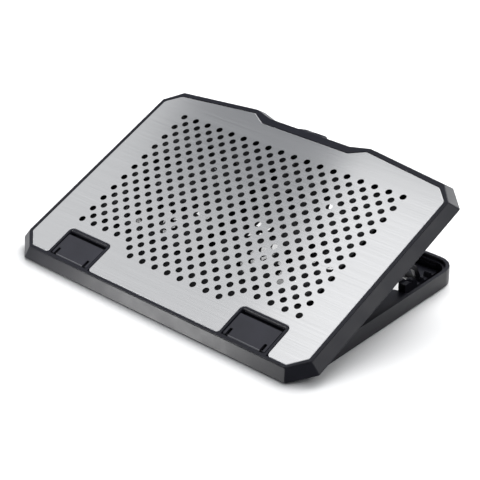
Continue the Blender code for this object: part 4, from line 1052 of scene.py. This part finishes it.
# Name: place, target, size, radiance. The plate mirrors the three plate lights, and the front wall
# of the rim mirrors front_box. UNSEEN lights the floor and isn't mirrored.
UNSEEN = "rear_top"
LIGHTS = {
    UNSEEN: ((-0.6, 1.8, 2.0), (0, 0, 0), (2.6, 1.6), 12.5),
    "plate_right": ((-0.03, -0.01, 0.50), (-0.03, -0.01, 0), (0.38, 0.48), 0.78),
    "plate_front": ((-0.54, -0.14, 0.50), (-0.54, -0.14, 0), (0.66, 0.44), 0.45),
    "plate_left": ((-0.74, 0.22, 0.50), (-0.74, 0.22, 0), (0.45, 0.36), 0.38),
    "front_box": ((-0.225, -0.46, 0.035), (0.03, -0.12, 0.01), (0.17, 0.05), 46.0),
    "right_box": ((0.86, 0.17, 0.76), (0.18, 0.0, 0.05), (0.5, 0.5), 3.8),
    "rear_box": ((0.13, 0.86, 0.36), (0.17, 0.1, 0.09), (0.4, 0.25), 6.2),
}
# The photograph's view: 42.8 degrees round to the right, 28.8 degrees up, rolled slightly
CAMERA_FROM_HINGE = Vector((0.85364, -0.83707, 0.71160))
CAMERA_FORWARD = Vector((-0.594728, 0.641404, -0.484664))
CAMERA_RIGHT = Vector((0.741015, 0.671158, -0.021085))
CAMERA_SENSOR, CAMERA_LENS = 36, 111.975


def add_floor():
    half = FLOOR_HALF
    mesh = bpy.data.meshes.new("floor")
    corners = [(-half, -half, 0), (half, -half, 0), (half, half, 0), (-half, half, 0)]
    mesh.from_pydata(corners, [], [(0, 1, 2, 3)])
    floor = bpy.data.objects.new("floor", mesh)
    bpy.context.scene.collection.objects.link(floor)
    made, _, _ = shader_of("floor_white", FLOOR_COLOR, 0.9)
    mesh.materials.append(made)


def add_lights():
    for name, (place, target, size, radiance) in LIGHTS.items():
        data = bpy.data.lights.new(name, "AREA")
        data.shape = "RECTANGLE"
        data.size, data.size_y = size
        data.energy = radiance * math.pi * size[0] * size[1]
        lamp = bpy.data.objects.new(name, data)
        bpy.context.scene.collection.objects.link(lamp)
        lamp.location = place
        lamp.rotation_euler = (Vector(target) - Vector(place)).to_track_quat("-Z", "Y").to_euler()
        lamp.visible_camera = False
        lamp.visible_glossy = name != UNSEEN


def add_camera():
    forward = CAMERA_FORWARD.normalized()
    right = (CAMERA_RIGHT - forward * CAMERA_RIGHT.dot(forward)).normalized()
    up = right.cross(forward)
    data = bpy.data.cameras.new("camera")
    data.sensor_width = CAMERA_SENSOR
    data.lens = CAMERA_LENS
    data.clip_end = 60
    camera = bpy.data.objects.new("camera", data)
    bpy.context.scene.collection.objects.link(camera)
    turn = Matrix((right, up, -forward)).transposed().to_4x4()
    camera.matrix_world = Matrix.Translation(HINGE + CAMERA_FROM_HINGE) @ turn
    bpy.context.scene.camera = camera


def ramp(tree, value, start, stop, first, last, shape="SMOOTHSTEP"):
    """Goes from first at start to last at stop, smoothly unless shape says otherwise."""
    made = tree.nodes.new("ShaderNodeMapRange")
    made.interpolation_type = shape
    made.inputs["From Min"].default_value = start
    made.inputs["From Max"].default_value = stop
    made.inputs["To Min"].default_value = first
    made.inputs["To Max"].default_value = last
    tree.links.new(value, made.inputs["Value"])
    return made.outputs["Result"]


def grey_levels(tree, y, stops):
    """Grey that follows the direction's y from stop to stop."""
    made = tree.nodes.new("ShaderNodeValToRGB")
    made.color_ramp.interpolation = "EASE"
    points = made.color_ramp.elements
    while len(points) < len(stops):
        points.new(0.5)
    for point, (place, level) in zip(points, stops):
        point.position = (place + 1) / 2
        point.color = (*(level * channel for channel in SKY_TINT), 1)
    tree.links.new(ramp(tree, y, -1, 1, 0, 1, "LINEAR"), made.inputs["Fac"])
    return made.outputs["Color"]


def add_world():
    """A studio whose light depends on the direction's y, more so round the horizon than overhead."""
    world = bpy.data.worlds.new("studio")
    world.use_nodes = True
    tree = world.node_tree
    where = tree.nodes.new("ShaderNodeTexCoord")
    axes = tree.nodes.new("ShaderNodeSeparateXYZ")
    tree.links.new(where.outputs["Generated"], axes.inputs["Vector"])
    low = ramp(tree, axes.outputs["Z"], *HORIZON, 1, 0)
    both = tree.nodes.new("ShaderNodeMix")
    both.data_type = "RGBA"
    tree.links.new(low, both.inputs["Factor"])
    tree.links.new(grey_levels(tree, axes.outputs["Y"], SKY_HIGH), both.inputs["A"])
    tree.links.new(grey_levels(tree, axes.outputs["Y"], SKY_LOW), both.inputs["B"])
    tree.links.new(both.outputs["Result"], tree.nodes["Background"].inputs["Color"])
    bpy.context.scene.world = world


def main():
    bpy.context.scene.view_settings.view_transform = "Standard"
    add_camera()
    add_world()
    add_floor()
    add_lights()
    add_plate()
    add_rim()
    add_cover()
    for name, side in SIDES.items():
        add_flap(name, side)
        add_fan_frame(name, side)
        add_impeller(name, side)
    add_screws()
    add_dial()
    add_board_parts()
    add_refined()
    dress_nodes()


main()
